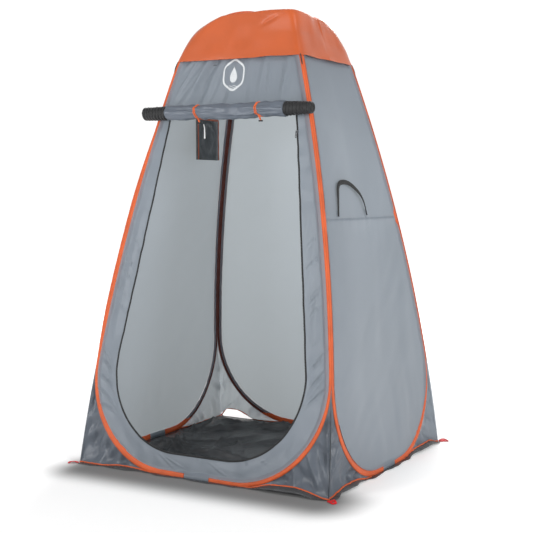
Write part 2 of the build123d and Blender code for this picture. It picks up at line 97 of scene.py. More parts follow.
def noise2(x, y, seed):
    """Smooth noise from -1 to 1 over a plane."""
    x, y = np.broadcast_arrays(np.asarray(x, float), np.asarray(y, float))
    table = np.random.default_rng(seed).uniform(-1, 1, (128, 128))
    i, j = np.floor(x).astype(int), np.floor(y).astype(int)
    f, g = x - i, y - j
    f, g = f * f * (3 - 2 * f), g * g * (3 - 2 * g)
    a, b, c, d = i % 128, (i + 1) % 128, j % 128, (j + 1) % 128
    near = table[a, c] * (1 - f) + table[b, c] * f
    return near * (1 - g) + (table[a, d] * (1 - f) + table[b, d] * f) * g


def folds(u, z, degrees, width, seed, long=7):
    """Soft folds that run at an angle, width apart, each about long widths long."""
    c, s = math.cos(math.radians(degrees)), math.sin(math.radians(degrees))
    along, across = u * c + z * s, z * c - u * s
    across = across + 0.6 * width * noise2(along / (4 * width), across / (4 * width), seed + 1)
    return noise2(across / width, along / (width * long), seed)


def crease(u, z, start, end, width, height):
    """Sharp fold along a line, with a soft valley on each side, that fades at its ends."""
    du, dz = end[0] - start[0], end[1] - start[1]
    length = math.hypot(du, dz)
    t = ((u - start[0]) * du + (z - start[1]) * dz) / length ** 2
    off = ((u - start[0]) * dz - (z - start[1]) * du) / length
    off = off + 0.25 * width * np.sin(6 * t + 3 * start[0])
    fade = smooth(t, -0.05, 0.3) * smooth(-t, -1.05, -0.6)
    return height * fade * (np.exp(-np.abs(off) / width) - 0.55 * np.exp(-(off / (2.4 * width)) ** 2))


# ---------------------------------------------------------------- the walls
def side_x(z):
    """Half-width of the tent at height z: the side walls bow."""
    return BOW_X + np.sqrt(BOW_RADIUS ** 2 - (z - BOW_Z) ** 2)


def front_y(z):
    """Half-depth of the tent at height z: the front and back walls lean in."""
    return HALF_DEPTH - LEAN * z


def side_edge(z):
    """Half-depth of a side wall, which ends just inside the front and back walls."""
    return front_y(z) - WALL - EDGE_GAP


def on_wall(wall, u, z, d):
    """Points u along a wall, at height z on its outer face, moved d outwards."""
    u, z, d = np.broadcast_arrays(*[np.asarray(v, float) for v in (u, z, d)])
    if wall in ("front", "back"):
        s, n = (-1 if wall == "front" else 1), math.hypot(1, LEAN)
        return np.stack([u, s * (front_y(z) + d / n), z + d * LEAN / n], -1)
    s = -1 if wall == "left" else 1
    slope = (z - BOW_Z) / np.sqrt(BOW_RADIUS ** 2 - (z - BOW_Z) ** 2)
    n = np.sqrt(1 + slope ** 2)
    return np.stack([s * (side_x(z) + d / n), u, z + d * slope / n], -1)


def lengths(line):
    """Distance along a line at each of its points."""
    return np.r_[0, np.cumsum(np.linalg.norm(np.diff(line, axis=0), axis=1))]


def resampled(line, count, closed):
    """The line at even steps; a closed one doesn't come back to its first point."""
    s = lengths(line)
    at = np.linspace(0, s[-1], count, endpoint=not closed)
    return np.stack([np.interp(at, s, line[:, k]) for k in (0, 1)], 1)


def shut(points):
    """The closed line with its first point again at the end."""
    return np.vstack([points, points[:1]])


def even(points, count):
    """The closed line resampled at even steps."""
    return resampled(shut(points), count, True)


def outline(bottom, radius, centre, lean, side, top):
    """Closed egg outline, from the middle of the bottom towards +u: foot arc, side, then top."""
    angles = np.linspace(-math.pi / 2, lean, 60)
    foot = np.stack([centre + radius * np.cos(angles), bottom + radius + radius * np.sin(angles)], 1)
    heights = np.linspace(foot[-1, 1], top[0][1], 200)[1:]
    right = np.vstack([[0, bottom], foot, np.stack([side(heights), heights], 1), top[1:]])
    left = right[1:-1][::-1] * [-1, 1]
    return np.vstack([right, left])


def arch(half, foot, top):
    """Points of the circle through (half, foot) and (0, top), from the first to the second."""
    rise = top - foot
    radius = (half ** 2 + rise ** 2) / (2 * rise)
    angles = np.linspace(math.asin(half / radius), 0, 80)
    return np.stack([radius * np.sin(angles), top - radius + radius * np.cos(angles)], 1)


def hoop(wall):
    """(outline of a wall's hoop, centre of its foot's arc, radius, lean of its side at the foot)."""
    if wall in ("front", "back"):
        r = FRONT_FOOT
        centre = BOW_X + math.sqrt((BOW_RADIUS - r) ** 2 - (r - BOW_Z) ** 2)
        lean = math.atan2(r - BOW_Z, centre - BOW_X)
        top = arch(float(side_x(CORNER_TOP)), CORNER_TOP, FRONT_ARCH)
        return outline(0, r, centre, lean, side_x, top), centre, r, lean
    r = SIDE_FOOT
    centre = float(side_edge(r)) - r * math.hypot(1, LEAN)
    lean = math.atan(LEAN)
    top = arch(float(side_edge(CORNER_TOP)), CORNER_TOP, SIDE_ARCH)
    return outline(0, r, centre, lean, side_edge, top), centre, r, lean


def door():
    """Outline of the doorway."""
    side = lambda z: DOOR_TOP_HALF + DOOR_SPREAD * (DOOR_TOP - z)
    r = DOOR_FOOT
    centre = side(DOOR_SILL + r) - r * math.hypot(1, DOOR_SPREAD)
    half = np.linspace(DOOR_TOP_HALF, 0, 60)
    top = np.stack([half, np.full(60, DOOR_TOP)], 1)
    return outline(DOOR_SILL, r, centre, math.atan(DOOR_SPREAD), side, top)


def inward(points):
    """Unit normals of a closed line, towards its inside."""
    t = np.roll(points, -1, 0) - np.roll(points, 1, 0)
    t /= np.linalg.norm(t, axis=1)[:, None]
    return np.stack([-t[:, 1], t[:, 0]], 1)


def inset(points, distance):
    return points + inward(points) * distance


def to_edge(u, z, edge):
    """(distance to a closed line, arc length of the nearest point on it) for every point."""
    flat = np.stack([u.ravel(), z.ravel()], 1)
    s = lengths(edge)
    best, at = np.empty(len(flat)), np.empty(len(flat))
    for i in range(0, len(flat), 4000):
        d = np.linalg.norm(flat[i:i + 4000, None] - edge[None], axis=2)
        k = d.argmin(1)
        best[i:i + 4000], at[i:i + 4000] = d[np.arange(len(k)), k], s[k]
    return best.reshape(u.shape), at.reshape(u.shape)


# ---------------------------------------------------------------- meshes
def stacked(*parts):
    """Coordinates of any shapes that go together, as points."""
    return np.stack(np.broadcast_arrays(*parts), -1)


def turn(count):
    """Even angles of a full turn."""
    return np.linspace(0, 2 * math.pi, count, endpoint=False)


def curve(value, power):
    """Signed power of a sine or cosine: it squares a circle off or pinches it."""
    return np.sign(value) * np.abs(value) ** power


def middle(low, high):
    return (low + high) / 2


def mesh(name, points, faces, uv=None):
    data = bpy.data.meshes.new(name)
    data.from_pydata([tuple(p) for p in points], [], faces)
    data.validate()
    if uv is not None:
        layer = data.uv_layers.new(name="UVMap")
        loops = np.empty(len(data.loops), int)
        data.loops.foreach_get("vertex_index", loops)
        layer.data.foreach_set("uv", np.asarray(uv, float)[loops].astype(np.float32).ravel())
    for polygon in data.polygons:
        polygon.use_smooth = True
    data.update()
    obj = bpy.data.objects.new(name, data)
    bpy.context.scene.collection.objects.link(obj)
    return obj


def grid_faces(rows, columns, round_rows, round_columns):
    """Quads of a grid of points, joined up the rows, the columns or both where it is round."""
    faces = []
    for i in range(rows if round_rows else rows - 1):
        for j in range(columns if round_columns else columns - 1):
            k, l = (i + 1) % rows, (j + 1) % columns
            faces.append((i * columns + j, k * columns + j, k * columns + l, i * columns + l))
    return faces


def grid(name, points, uv=None, round_rows=False, round_columns=False, caps=False):
    """Mesh of a grid of points (rows, columns, 3)."""
    rows, columns = points.shape[:2]
    faces = grid_faces(rows, columns, round_rows, round_columns)
    if uv is None:
        uv = stacked(lengths(points[:, 0])[:, None], lengths(points[rows // 2]))
    if caps:
        faces.append(tuple(range(columns)))
        faces.append(tuple(range((rows - 1) * columns, rows * columns))[::-1])
    return mesh(name, points.reshape(-1, 3), faces, uv.reshape(-1, 2))


def tube(name, path, radius, sides=12, flat=1.0, up=(0, 0, 1), closed=False):
    """Tube along a path; radius may vary along it, and flat squashes it along up."""
    path = np.asarray(path, float)
    n = len(path)
    if closed:
        t = np.roll(path, -1, 0) - np.roll(path, 1, 0)
    else:
        t = np.gradient(path, axis=0)
    t /= np.linalg.norm(t, axis=1)[:, None]
    up = np.broadcast_to(np.asarray(up, float), path.shape)
    a = np.cross(up, t)
    a /= np.linalg.norm(a, axis=1)[:, None] + 1e-12
    b = np.cross(t, a)
    r = np.broadcast_to(np.asarray(radius, float), (n,))[:, None, None]
    angles = turn(sides)[None, :, None]
    points = path[:, None] + r * (a[:, None] * np.cos(angles) + flat * b[:, None] * np.sin(angles))
    return grid(name, points, round_rows=closed, round_columns=True, caps=not closed)


def joined(name, parts):
    """Several meshes as one piece, keeping the material of each."""
    keep = parts[0]
    with bpy.context.temp_override(active_object=keep, object=keep, selected_objects=parts,
                                   selected_editable_objects=parts):
        bpy.ops.object.join()
    keep.name = keep.data.name = name
    return keep


# ---------------------------------------------------------------- materials
def linear(code):
    """Linear colour of an sRGB hex code."""
    values = [int(code[i:i + 2], 16) / 255 for i in (1, 3, 5)]
    return [((v + 0.055) / 1.055) ** 2.4 if v > 0.04045 else v / 12.92 for v in values] + [1.0]


def fill(tree, node, inputs):
    """Give a node's sockets their values, or link them to the outputs of other nodes."""
    for socket, value in inputs.items():
        if isinstance(value, bpy.types.NodeSocket):
            tree.links.new(value, node.inputs[socket])
        else:
            node.inputs[socket].default_value = value


def add_node(tree, kind, inputs, output, **settings):
    """A new shader node; the result is the output asked for."""
    node = tree.nodes.new("ShaderNode" + kind)
    for setting, value in settings.items():
        setattr(node, setting, value)
    fill(tree, node, inputs)
    return node.outputs[output]


def surface(name, colour, rough, metal=0.0, sheen=0.0, spread=0.06, grain=8.0, bump=0.15, weave=0.0,
            through=0.0, glow=None, wear_and_highlights=0.0, net=None, wrinkle=0.0):
    """Principled material with procedural colour variation, grain or weave, pale flecks that are wear and, on
    the floor sheet, partly painted highlights, the holes of a net and, for thin cloth, light that comes through
    from behind."""
    material = bpy.data.materials.new(name)
    material.use_nodes = True
    tree = material.node_tree
    here = tree.nodes.new("ShaderNodeTexCoord").outputs
    base = linear(colour)

    def tone(factor, lift=0.0):
        return [min(1, c * factor + lift) for c in base[:3]] + [1.0]

    def noise(scale, **inputs):
        return add_node(tree, "TexNoise", {"Vector": here["Object"], "Scale": scale, **inputs}, "Fac")

    def threads(scale, operation, **inputs):
        waves = [add_node(tree, "TexWave", {"Vector": here["UV"], "Scale": scale, **inputs}, "Fac",
                          bands_direction=axis) for axis in ("X", "Y")]
        return add_node(tree, "Math", dict(enumerate(waves)), "Value", operation=operation)

    def span(value, low, high, least=0.0, most=1.0):
        return add_node(tree, "MapRange", {"Value": value, "From Min": low, "From Max": high,
                                           "To Min": least, "To Max": most}, "Result")

    def blend(first, second, factor):
        return add_node(tree, "Mix", {"A": first, "B": second, "Factor": factor}, "Result", data_type="RGBA")

    paint = blend(tone(1 - 2.5 * spread), tone(1 + 1.5 * spread), span(noise(grain, Detail=6), 0.25, 0.65))
    # Pale flecks: wear on the metal and plastic parts; on the floor sheet they are partly painted highlights.
    if wear_and_highlights:
        paint = blend(paint, tone(1.8, 0.03), span(noise(90, Detail=10), 0.60, 0.72, 0.0, wear_and_highlights))
    height = threads(weave, "ADD", Distortion=0.6) if weave else noise(400)
    normal = add_node(tree, "Bump", {"Strength": bump, "Distance": 0.0006, "Height": height}, "Normal")
    if wrinkle:
        soft = noise(22, Detail=4, Distortion=0.8)
        normal = add_node(tree, "Bump", {"Strength": wrinkle, "Distance": 0.004, "Height": soft,
                                         "Normal": normal}, "Normal")
    shader = tree.nodes["Principled BSDF"]
    fill(tree, shader, {"Base Color": paint, "Roughness": rough, "Metallic": metal, "Normal": normal,
                        "Sheen Weight": sheen, "Sheen Roughness": 0.4})
    if net:
        least, scale = net
        fill(tree, shader, {"Alpha": span(threads(scale, "MAXIMUM"), 0.35, 0.65, least)})
    if through:
        behind = add_node(tree, "BsdfTranslucent", {"Color": linear(glow)}, "BSDF")
        both = add_node(tree, "MixShader", {"Fac": through, 1: shader.outputs["BSDF"], 2: behind}, "Shader")
        fill(tree, tree.nodes["Material Output"], {"Surface": both})
    return material


WEAVE = 260.0
M = {
    "wall": surface("wall_fabric", "#828a95", 0.39, sheen=0.05, spread=0.035, grain=2.6, bump=0.10,
                    weave=WEAVE, through=0.34, glow="#d9e0e2"),
    # Darker copy of the wall's cloth: painted shade in the corner gussets by the front wall.
    "gusset": surface("corner_shaded_fabric", "#5c636d", 0.36, sheen=0.05, spread=0.05, grain=5, bump=0.12,
                      weave=WEAVE, through=0.10, glow="#c9d0d2"),
    # Darker copy of the wall's cloth: painted shade on the rolled door.
    "roll": surface("rolled_shaded_fabric", "#5f6772", 0.36, sheen=0.05, spread=0.05, grain=6, bump=0.12,
                    weave=WEAVE, through=0.05, glow="#c9d0d2"),
    "sleeve": surface("sleeve_fabric", "#d35b27", 0.55, sheen=0.03, spread=0.06, grain=14, bump=0.2,
                      weave=WEAVE, through=0.04, glow="#e8632c", wrinkle=0.25),
    # Darker copy of the sleeve's cloth: painted shade on the sleeves' inner faces.
    "sleeve_in": surface("sleeve_shaded_inside", "#5f2a20", 0.7, sheen=0.1, spread=0.10, grain=20, bump=0.2,
                         weave=WEAVE, wrinkle=0.25),
    "cap": surface("cap_fabric", "#c55b29", 0.38, sheen=0.30, spread=0.05, grain=5, bump=0.12,
                   weave=WEAVE, through=0.12, glow="#e8763c"),
    # The floor sheet's pale flecks are partly painted highlights.
    "floor": surface("floor_fabric", "#434446", 0.22, spread=0.12, grain=18, bump=0.25,
                     weave=WEAVE, wear_and_highlights=0.16, wrinkle=0.7),
    "mesh": surface("pocket_net", "#4a4e52", 0.7, spread=0.1, grain=30, bump=0.2, net=(0.16, 90.0)),
    "net": surface("roof_net", "#3a3c40", 0.7, spread=0.1, grain=30, bump=0.2, net=(0.35, 60.0)),
    "black": surface("webbing_black", "#0d0e10", 0.6, sheen=0.05, spread=0.2, grain=40, bump=0.4, weave=200),
    "red": surface("webbing_red", "#cc0511", 0.55, sheen=0.05, spread=0.12, grain=40, bump=0.4, weave=200),
    "elastic": surface("elastic_orange", "#e8692a", 0.6, sheen=0.3, grain=60, spread=0.1, bump=0.5, weave=300),
    "elastic_black": surface("elastic_black", "#1b1b1d", 0.6, sheen=0.3, grain=60, spread=0.1, bump=0.5,
                             weave=300),
    "binding": surface("binding_rust", "#a8553a", 0.65, sheen=0.2, spread=0.1, grain=30, bump=0.3, weave=WEAVE),
    "label": surface("label_white", "#e4e5e3", 0.5, spread=0.03, grain=30, bump=0.15, weave=400),
    "print": surface("print_white", "#cfd3d5", 0.45, spread=0.03, grain=60, bump=0.1),
    "steel": surface("spring_steel", "#8d9094", 0.32, metal=1.0, spread=0.08, grain=50, bump=0.1, wear_and_highlights=0.2),
    "ferrule": surface("ferrule_steel", "#9a9c9e", 0.38, metal=1.0, spread=0.1, grain=80, bump=0.2, wear_and_highlights=0.3),
    "zip": surface("zip_black", "#141517", 0.5, sheen=0.1, spread=0.15, grain=60, bump=0.3, weave=300),
    "metal": surface("zip_metal", "#6f7174", 0.35, metal=1.0, spread=0.1, grain=90, bump=0.15, wear_and_highlights=0.3),
    "plastic": surface("toggle_plastic", "#121314", 0.35, spread=0.15, grain=90, bump=0.1, wear_and_highlights=0.15),
}


def finish_piece(obj, body, material, *nodes):
    """Give a piece its material, its CAD body and the nodes that it stands for."""
    if not obj.data.materials:
        obj.data.materials.append(M[material])
    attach(obj, body)
    if nodes:
        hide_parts(*nodes)
    return obj


# ---------------------------------------------------------------- relief of each wall's cloth
HOOPS = {wall: hoop(wall) for wall in ("front", "back", "left", "right")}
EDGES = {wall: even(HOOPS[wall][0], 900) for wall in HOOPS}
DOORWAY = even(door(), 900)
SEEDS = {"front": 11, "back": 31, "left": 51, "right": 71}


# Where each hem is pulled up: how high, where it begins to rise, where it is up, where it begins
# to fall and where it is down again, along the wall.
HEM_PULLS = {
    "front": ((0.024, 0.24, 0.36, 0.44, 0.605), (0.008, -0.48, -0.38, -0.30, -0.22)),
    "back": ((0.040, -0.60, -0.55, -0.50, -0.38), (0.010, 0.36, 0.48, 0.52, 0.59)),
    "left": ((0.012, -0.56, -0.48, -0.42, -0.30),),
    "right": ((0.020, 0.16, 0.30, 0.46, 0.56), (0.018, -0.56, -0.42, -0.32, -0.20)),
}


def hem_lift(wall, u):
    """Height of a wall's hem above the ground: it waves, and is pulled up in places."""
    u = np.asarray(u, float)
    lift = 0.004 + 0.0015 * (1 + noise1(u * 14, SEEDS[wall] + 5))
    for height, rises, up, falls, down in HEM_PULLS[wall]:
        lift = lift + height * smooth(u, rises, up) * smooth(-u, -down, -falls)
    return lift


LAP_TILT = {"front": 0.0040, "right": -0.0040, "back": 0.0, "left": 0.0}


def bare(wall, u, z):
    """Width of the sleeve that shows outside: the wall's cloth laps over the rest, most at the sides."""
    return 0.0122 + 0.0090 * smooth(-z, -0.50, -0.10) - LAP_TILT[wall] * np.tanh(u / 0.15)


def lapped(wall, points, amount):
    """A hoop's outline moved in to where the wall's cloth is sewn on the sleeve's outer face."""
    return points + inward(points) * (bare(wall, points[:, :1], points[:, 1:]) - amount)


def to_hoop(wall, u, z):
    """(distance inside the sleeve, arc length, how far the cloth stands out where it laps the sleeve)."""
    rim, at = to_edge(u, z, EDGES[wall])
    lap = 0.0056 * smooth(-z, -1.78, -1.72) * (1 - smooth(rim, 0.019, 0.034))
    lap = lap * smooth(bare(wall, u, z), 0.0265, 0.0215)
    return np.maximum(rim - SLEEVE, 0), at, lap


def relief(wall, u, z):
    """How far the cloth inside a wall's hoop stands out from the middle of the wall's depth."""
    seed = SEEDS[wall]
    edge, at, lap = to_hoop(wall, u, z)
    free = smooth(edge, 0, 0.09)
    d = lap - 0.006 * smooth(edge, 0, 0.30)
    d = d + 0.0022 * np.exp(-edge / 0.035) * noise1(at * 30, seed) * smooth(edge, 0, 0.010)
    d = d + free * 0.0022 * folds(u, z, 75, 0.085, seed + 2)
    d = d + free * 0.0012 * folds(u, z, 40, 0.05, seed + 3)
    low = smooth(-z, -0.55, -0.15)
    d = d + free * low * 0.0030 * folds(u, z, 100, 0.06, seed + 4, 4)
    if wall == "left":
        d = d * smooth(np.abs(u - 0.06) + 3 * np.abs(z - 1.40), 0.15, 0.45)
    if wall == "right":
        seam = np.abs(z - 1.052)
        d = d * smooth(seam, 0.0, 0.06) + 0.002 * np.exp(-(seam / 0.01) ** 2)
        d = d + 0.0012 * np.exp(-seam / 0.03) * noise1(u * 36, seed + 8) * free
    return d


def front_relief(u, z):
    """The same for the front wall, round the doorway, with the fan of folds above it."""
    edge, at, lap = to_hoop("front", u, z)
    gate, at_gate = to_edge(u, z, inset(DOORWAY, -ZIP))
    free = smooth(edge, 0, 0.06) * smooth(gate, 0, 0.05)
    loose = smooth(edge, 0, 0.06)
    d = lap - 0.004 * smooth(edge, 0, 0.2) * smooth(gate, 0, 0.1)
    d = d + 0.0028 * np.exp(-edge / 0.03) * noise1(at * 26, 111) * smooth(edge, 0, 0.010)
    d = d + 0.0022 * np.exp(-gate / 0.03) * noise1(at_gate * 24, 112)
    upper = smooth(z, 1.40, 1.52) * smooth(-z, -1.775, -1.725)
    spoke = np.arctan2(u - 0.05, 1.95 - z)
    fan = noise1(spoke * 11 + 0.4 * noise1(z * 9, 114), 113) + 0.45 * noise1(spoke * 25, 120)
    d = d + 0.0115 * fan * upper * loose * smooth(-u, -0.02, 0.04)
    broad = folds(u, z, 87, 0.048, 115, 12) + 0.4 * folds(u, z, 84, 0.020, 121, 12)
    d = d + 0.0115 * broad * upper * loose * smooth(u, -0.02, 0.06)
    beside, below = smooth(-z, -1.45, -1.30), smooth(-z, -0.40, -0.25)
    for height, degrees, width, seed, long, where in (
            (0.0070, 80, 0.045, 116, 6, beside),
            (0.0050, 48, 0.050, 117, 5, beside * smooth(u, 0, 0.1)),
            (0.0040, 118, 0.060, 122, 5, beside * smooth(-u, 0, 0.1)),
            (0.0050, 128, 0.050, 118, 5, below * smooth(-u, -0.1, 0.1)),
            (0.0050, 52, 0.050, 119, 5, below * smooth(u, -0.1, 0.1))):
        d = d + height * folds(u, z, degrees, width, seed, long) * where * free
    d = d * (1 - 0.8 * np.exp(-((u - EMBLEM_X) / 0.080) ** 4 - ((z - EMBLEM_Z) / 0.085) ** 4))
    d = d * smooth(-z, -1.84, -1.76)
    for start, end, width, height in FRONT_CREASES:
        d = d + crease(u, z, start, end, width, 1.5 * height) * smooth(gate, 0.002, 0.030)
    return d


EMBLEM_X, EMBLEM_Z, EMBLEM_R = -0.010, 1.655, 0.060

# Creases of the front wall: at the feet of the hoop, on the sill and above the rolled door.
FRONT_CREASES = [
    ((-0.555, 0.400), (-0.385, 0.255), 0.0070, 0.0110),
    ((-0.560, 0.345), (-0.420, 0.235), 0.0060, 0.0080),
    ((-0.540, 0.272), (-0.430, 0.225), 0.0060, 0.0080),
    ((-0.545, 0.470), (-0.460, 0.385), 0.0060, 0.0060),
    ((0.545, 0.485), (0.415, 0.335), 0.0075, 0.0110),
    ((0.555, 0.420), (0.450, 0.320), 0.0060, 0.0080),
    ((0.530, 0.540), (0.465, 0.455), 0.0060, 0.0060),
    ((-0.250, 0.120), (-0.100, 0.028), 0.0050, 0.0050),
    ((-0.200, 0.090), (-0.060, 0.040), 0.0045, 0.0040),
    ((0.020, 0.095), (0.150, 0.030), 0.0050, 0.0050),
    ((0.240, 0.150), (0.330, 0.095), 0.0050, 0.0050),
    ((-0.300, 1.560), (-0.170, 1.760), 0.0100, 0.0060),
    ((-0.225, 1.550), (-0.110, 1.790), 0.0100, 0.0070),
    ((0.170, 1.550), (0.150, 1.760), 0.0120, 0.0060),
    ((0.240, 1.560), (0.215, 1.740), 0.0100, 0.0050),
]
random = np.random.default_rng(140)
for side in (-1, 1):
    for k in range(9):
        foot = 0.30 + 0.075 * k + random.uniform(-0.02, 0.02)
        out = 0.545 - 0.17 * max(foot - 0.45, 0) + random.uniform(-0.01, 0.01)
        reach = random.uniform(0.08, 0.15)
        FRONT_CREASES.append(((side * out, foot + 0.9 * reach), (side * (out - reach), foot - 0.3 * reach),
                              random.uniform(0.0030, 0.0055), random.uniform(0.0025, 0.0060)))


# ---------------------------------------------------------------- wall panels
def panel(wall):
    """Cloth of a closed wall, one continuous sheet inside its hoop."""
    edge = lapped(wall, EDGES[wall], 0.001)
    half = edge[: len(edge) // 2 + 1]
    low, high = half[:, 1].min(), half[:, 1].max()
    rows, columns = 190, 110
    t = np.linspace(0, 1, rows)
    z = low + (high - low) * (0.35 * t + 0.65 * (1 - np.cos(math.pi * t)) / 2)
    order = np.argsort(half[:, 1], kind="stable")
    reach = np.interp(z, half[order, 1], np.maximum(half[order, 0], 0.0005))
    reach[0] = half[half[:, 1] < low + 0.0003, 0].max()
    u = reach[:, None] * np.linspace(-1, 1, columns)[None]
    z = np.broadcast_to(z[:, None], u.shape)
    points = on_wall(wall, u, z, MID + relief(wall, u, z))
    obj = grid(f"{wall}_panel_cloth", points, stacked(u, z))
    return finish_piece(obj, wall, "wall", f"{wall}_panel")


def polar(points, centre):
    """Radius of a closed line as a function of the angle about centre."""
    a = np.arctan2(points[:, 1] - centre[1], points[:, 0] - centre[0])
    r = np.hypot(points[:, 0] - centre[0], points[:, 1] - centre[1])
    order = np.argsort(a)
    return lambda at: np.interp(at, a[order], r[order], period=2 * math.pi)


def front_panel():
    """Front wall's cloth, a ring between the hoop and the zip of the doorway."""
    centre = (0.0, 0.80)
    outer = polar(lapped("front", even(HOOPS["front"][0], 2400), 0.001), centre)
    gate = inset(even(door(), 2400), -0.005)
    inner = polar(gate, centre)
    angles = [np.arctan2(p[:, 1] - centre[1], p[:, 0] - centre[0]) for p in (gate[::6], EDGES["front"][::3])]
    corners = [math.atan2(DOOR_TOP + 0.005 - centre[1], s * (DOOR_TOP_HALF + 0.0055)) for s in (-1, 1)]
    angles = np.unique(np.round(np.r_[angles[0], angles[1], corners], 5))
    t = np.linspace(0, 1, 64)[None]
    r = inner(angles)[:, None] * (1 - t) + outer(angles)[:, None] * t
    u = centre[0] + r * np.cos(angles)[:, None]
    z = centre[1] + r * np.sin(angles)[:, None]
    points = on_wall("front", u, z, MID + front_relief(u, z))
    obj = grid("front_panel_cloth", points, stacked(u, z), round_rows=True)
    return finish_piece(obj, "front", "wall", "front_panel")


panels = {wall: panel(wall) for wall in ("back", "left", "right")}
panels["front"] = front_panel()


# ---------------------------------------------------------------- sleeves and patches
PROFILE = np.array([
    (0.0000, -0.0040), (0.0012, -0.0016), (0.0050, -0.0002), (0.0105, 0.0003), (0.0160, -0.0004),
    (0.0200, -0.0016), (0.0225, -0.0030), (0.0265, -0.0036), (0.0265, -0.0044), (0.0225, -0.0050),
    (0.0200, -0.0064), (0.0160, -0.0076), (0.0105, -0.0083), (0.0050, -0.0078), (0.0012, -0.0064),
])


def band(wall, start, end, count, swell, seed, name):
    """Cloth tube along a wall's hoop between two arc lengths from the middle of the bottom."""
    edge = even(HOOPS[wall][0], 4000)
    normal = inward(edge)
    total = lengths(shut(edge))[-1]
    at = np.linspace(start, end, count)
    where = (at % total) / total * len(edge)
    pick = lambda values: np.stack(
        [np.interp(where, np.arange(len(edge) + 1), np.r_[values[:, k], values[0, k]]) for k in (0, 1)], 1)
    line, side = pick(edge), pick(normal)
    a, d = PROFILE[None, :, 0], PROFILE[None, :, 1] - MID
    pucker = 1 + swell + 0.16 * noise1(at * 55, seed)[:, None] * np.sin(np.arange(len(PROFILE)) * 1.9)[None]
    pucker = pucker + 0.12 * noise1(at * 120, seed + 1)[:, None]
    a = a + 0.0009 * noise1(at * 70, seed + 2)[:, None] * smooth(a, 0.018, 0.026)
    u = line[:, :1] + side[:, :1] * a
    z = np.maximum(line[:, 1:] + side[:, 1:] * a, 0.0006)
    d = np.clip(d * pucker, -0.0046, 0.0048)
    if wall == "left":
        d = d + 0.018 * (d > 0.0005) * smooth(-u, 0.2, 0.3) * smooth(z, 0.25, 0.7) * smooth(-z, -1.65, -1.1)
    points = on_wall(wall, u, z, MID + d)
    return grid(name, points, stacked(at[:, None], a), round_columns=True, caps=True)


for wall in HOOPS:
    seed = SEEDS[wall] + 200
    total = lengths(shut(EDGES[wall]))[-1]
    sleeve = band(wall, GAP, total - GAP, 900, 0.0, seed, f"{wall}_hoop_sleeve")
    # Higher than 45 mm, the sleeve's inner faces take a darker copy of its cloth, painted shade, and the faces
    # beside them take the wall's cloth, which laps over the sleeve.
    for material in ("sleeve", "sleeve_in", "wall"):
        sleeve.data.materials.append(M[material])
    columns = len(PROFILE)
    for index, polygon in enumerate(sleeve.data.polygons):
        turned = index % columns if polygon.center.z > 0.045 else 0
        polygon.material_index = 1 if 11 <= turned <= 13 else 2 if 7 <= turned <= 10 else 0
    finish_piece(sleeve, wall, "sleeve", f"{wall}_sleeve")
    patch = band(wall, -GAP + 0.001, GAP - 0.001, 40, 0.10, seed + 7, f"{wall}_patch_cloth")
    finish_piece(patch, wall, "wall", f"{wall}_sleeve_patch")
    for node, material in (("hoop", "steel"), ("hoop_ferrule", "ferrule")):
        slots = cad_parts[f"{wall}_{node}"].data.materials
        slots.clear()
        slots.append(M[material])


# ---------------------------------------------------------------- gussets and hems
FOOT_Z = 0.004                       # height at which the bottom corners of the walls are taken


def gusset_grid(wall, side):
    """Rays from the centre of a hoop's foot, from the hoop (t = 0) out to the corner (t = 1).

    The result is (u, z, t, angles, how far each ray goes past the hoop)."""
    _, centre, radius, lean = HOOPS[wall]
    limit = side_x if wall in ("front", "back") else lambda z: front_y(z) + MID

    def reach(angle):
        c, s = np.cos(angle), np.sin(angle)
        r = np.full_like(angle, radius * 1.2)
        for _ in range(30):
            z = np.maximum(radius + r * s, 0)
            r = 0.5 * r + 0.5 * np.where(c > 1e-3, (limit(z) - centre) / np.maximum(c, 1e-3), 9)
        low = np.full_like(angle, radius)
        for _ in range(30):
            drop = radius - hem_lift(wall, side * (centre + low * c))
            low = 0.5 * low + 0.5 * np.where(s < -1e-3, drop / np.maximum(-s, 1e-3), 9)
        return np.minimum(r, low)

    corner = math.atan2(FOOT_Z - radius, float(limit(FOOT_Z)) - centre)
    angles = np.r_[np.linspace(-math.pi / 2, corner, 70), np.linspace(corner, lean, 90)[1:]]
    outer = np.maximum(reach(angles), radius - 0.0015)
    t = np.linspace(0, 1, 36)
    r = (radius - 0.002) * (1 - t)[None] + outer[:, None] * t[None]
    u = side * (centre + r * np.cos(angles)[:, None])
    z = radius + r * np.sin(angles)[:, None]
    return u, z, np.broadcast_to(t[None], u.shape), angles, outer - radius


def enclosed(points):
    """Area inside a closed line."""
    x, y = points[:, 0], points[:, 1]
    return abs((x * np.roll(y, -1) - y * np.roll(x, -1)).sum() / 2)


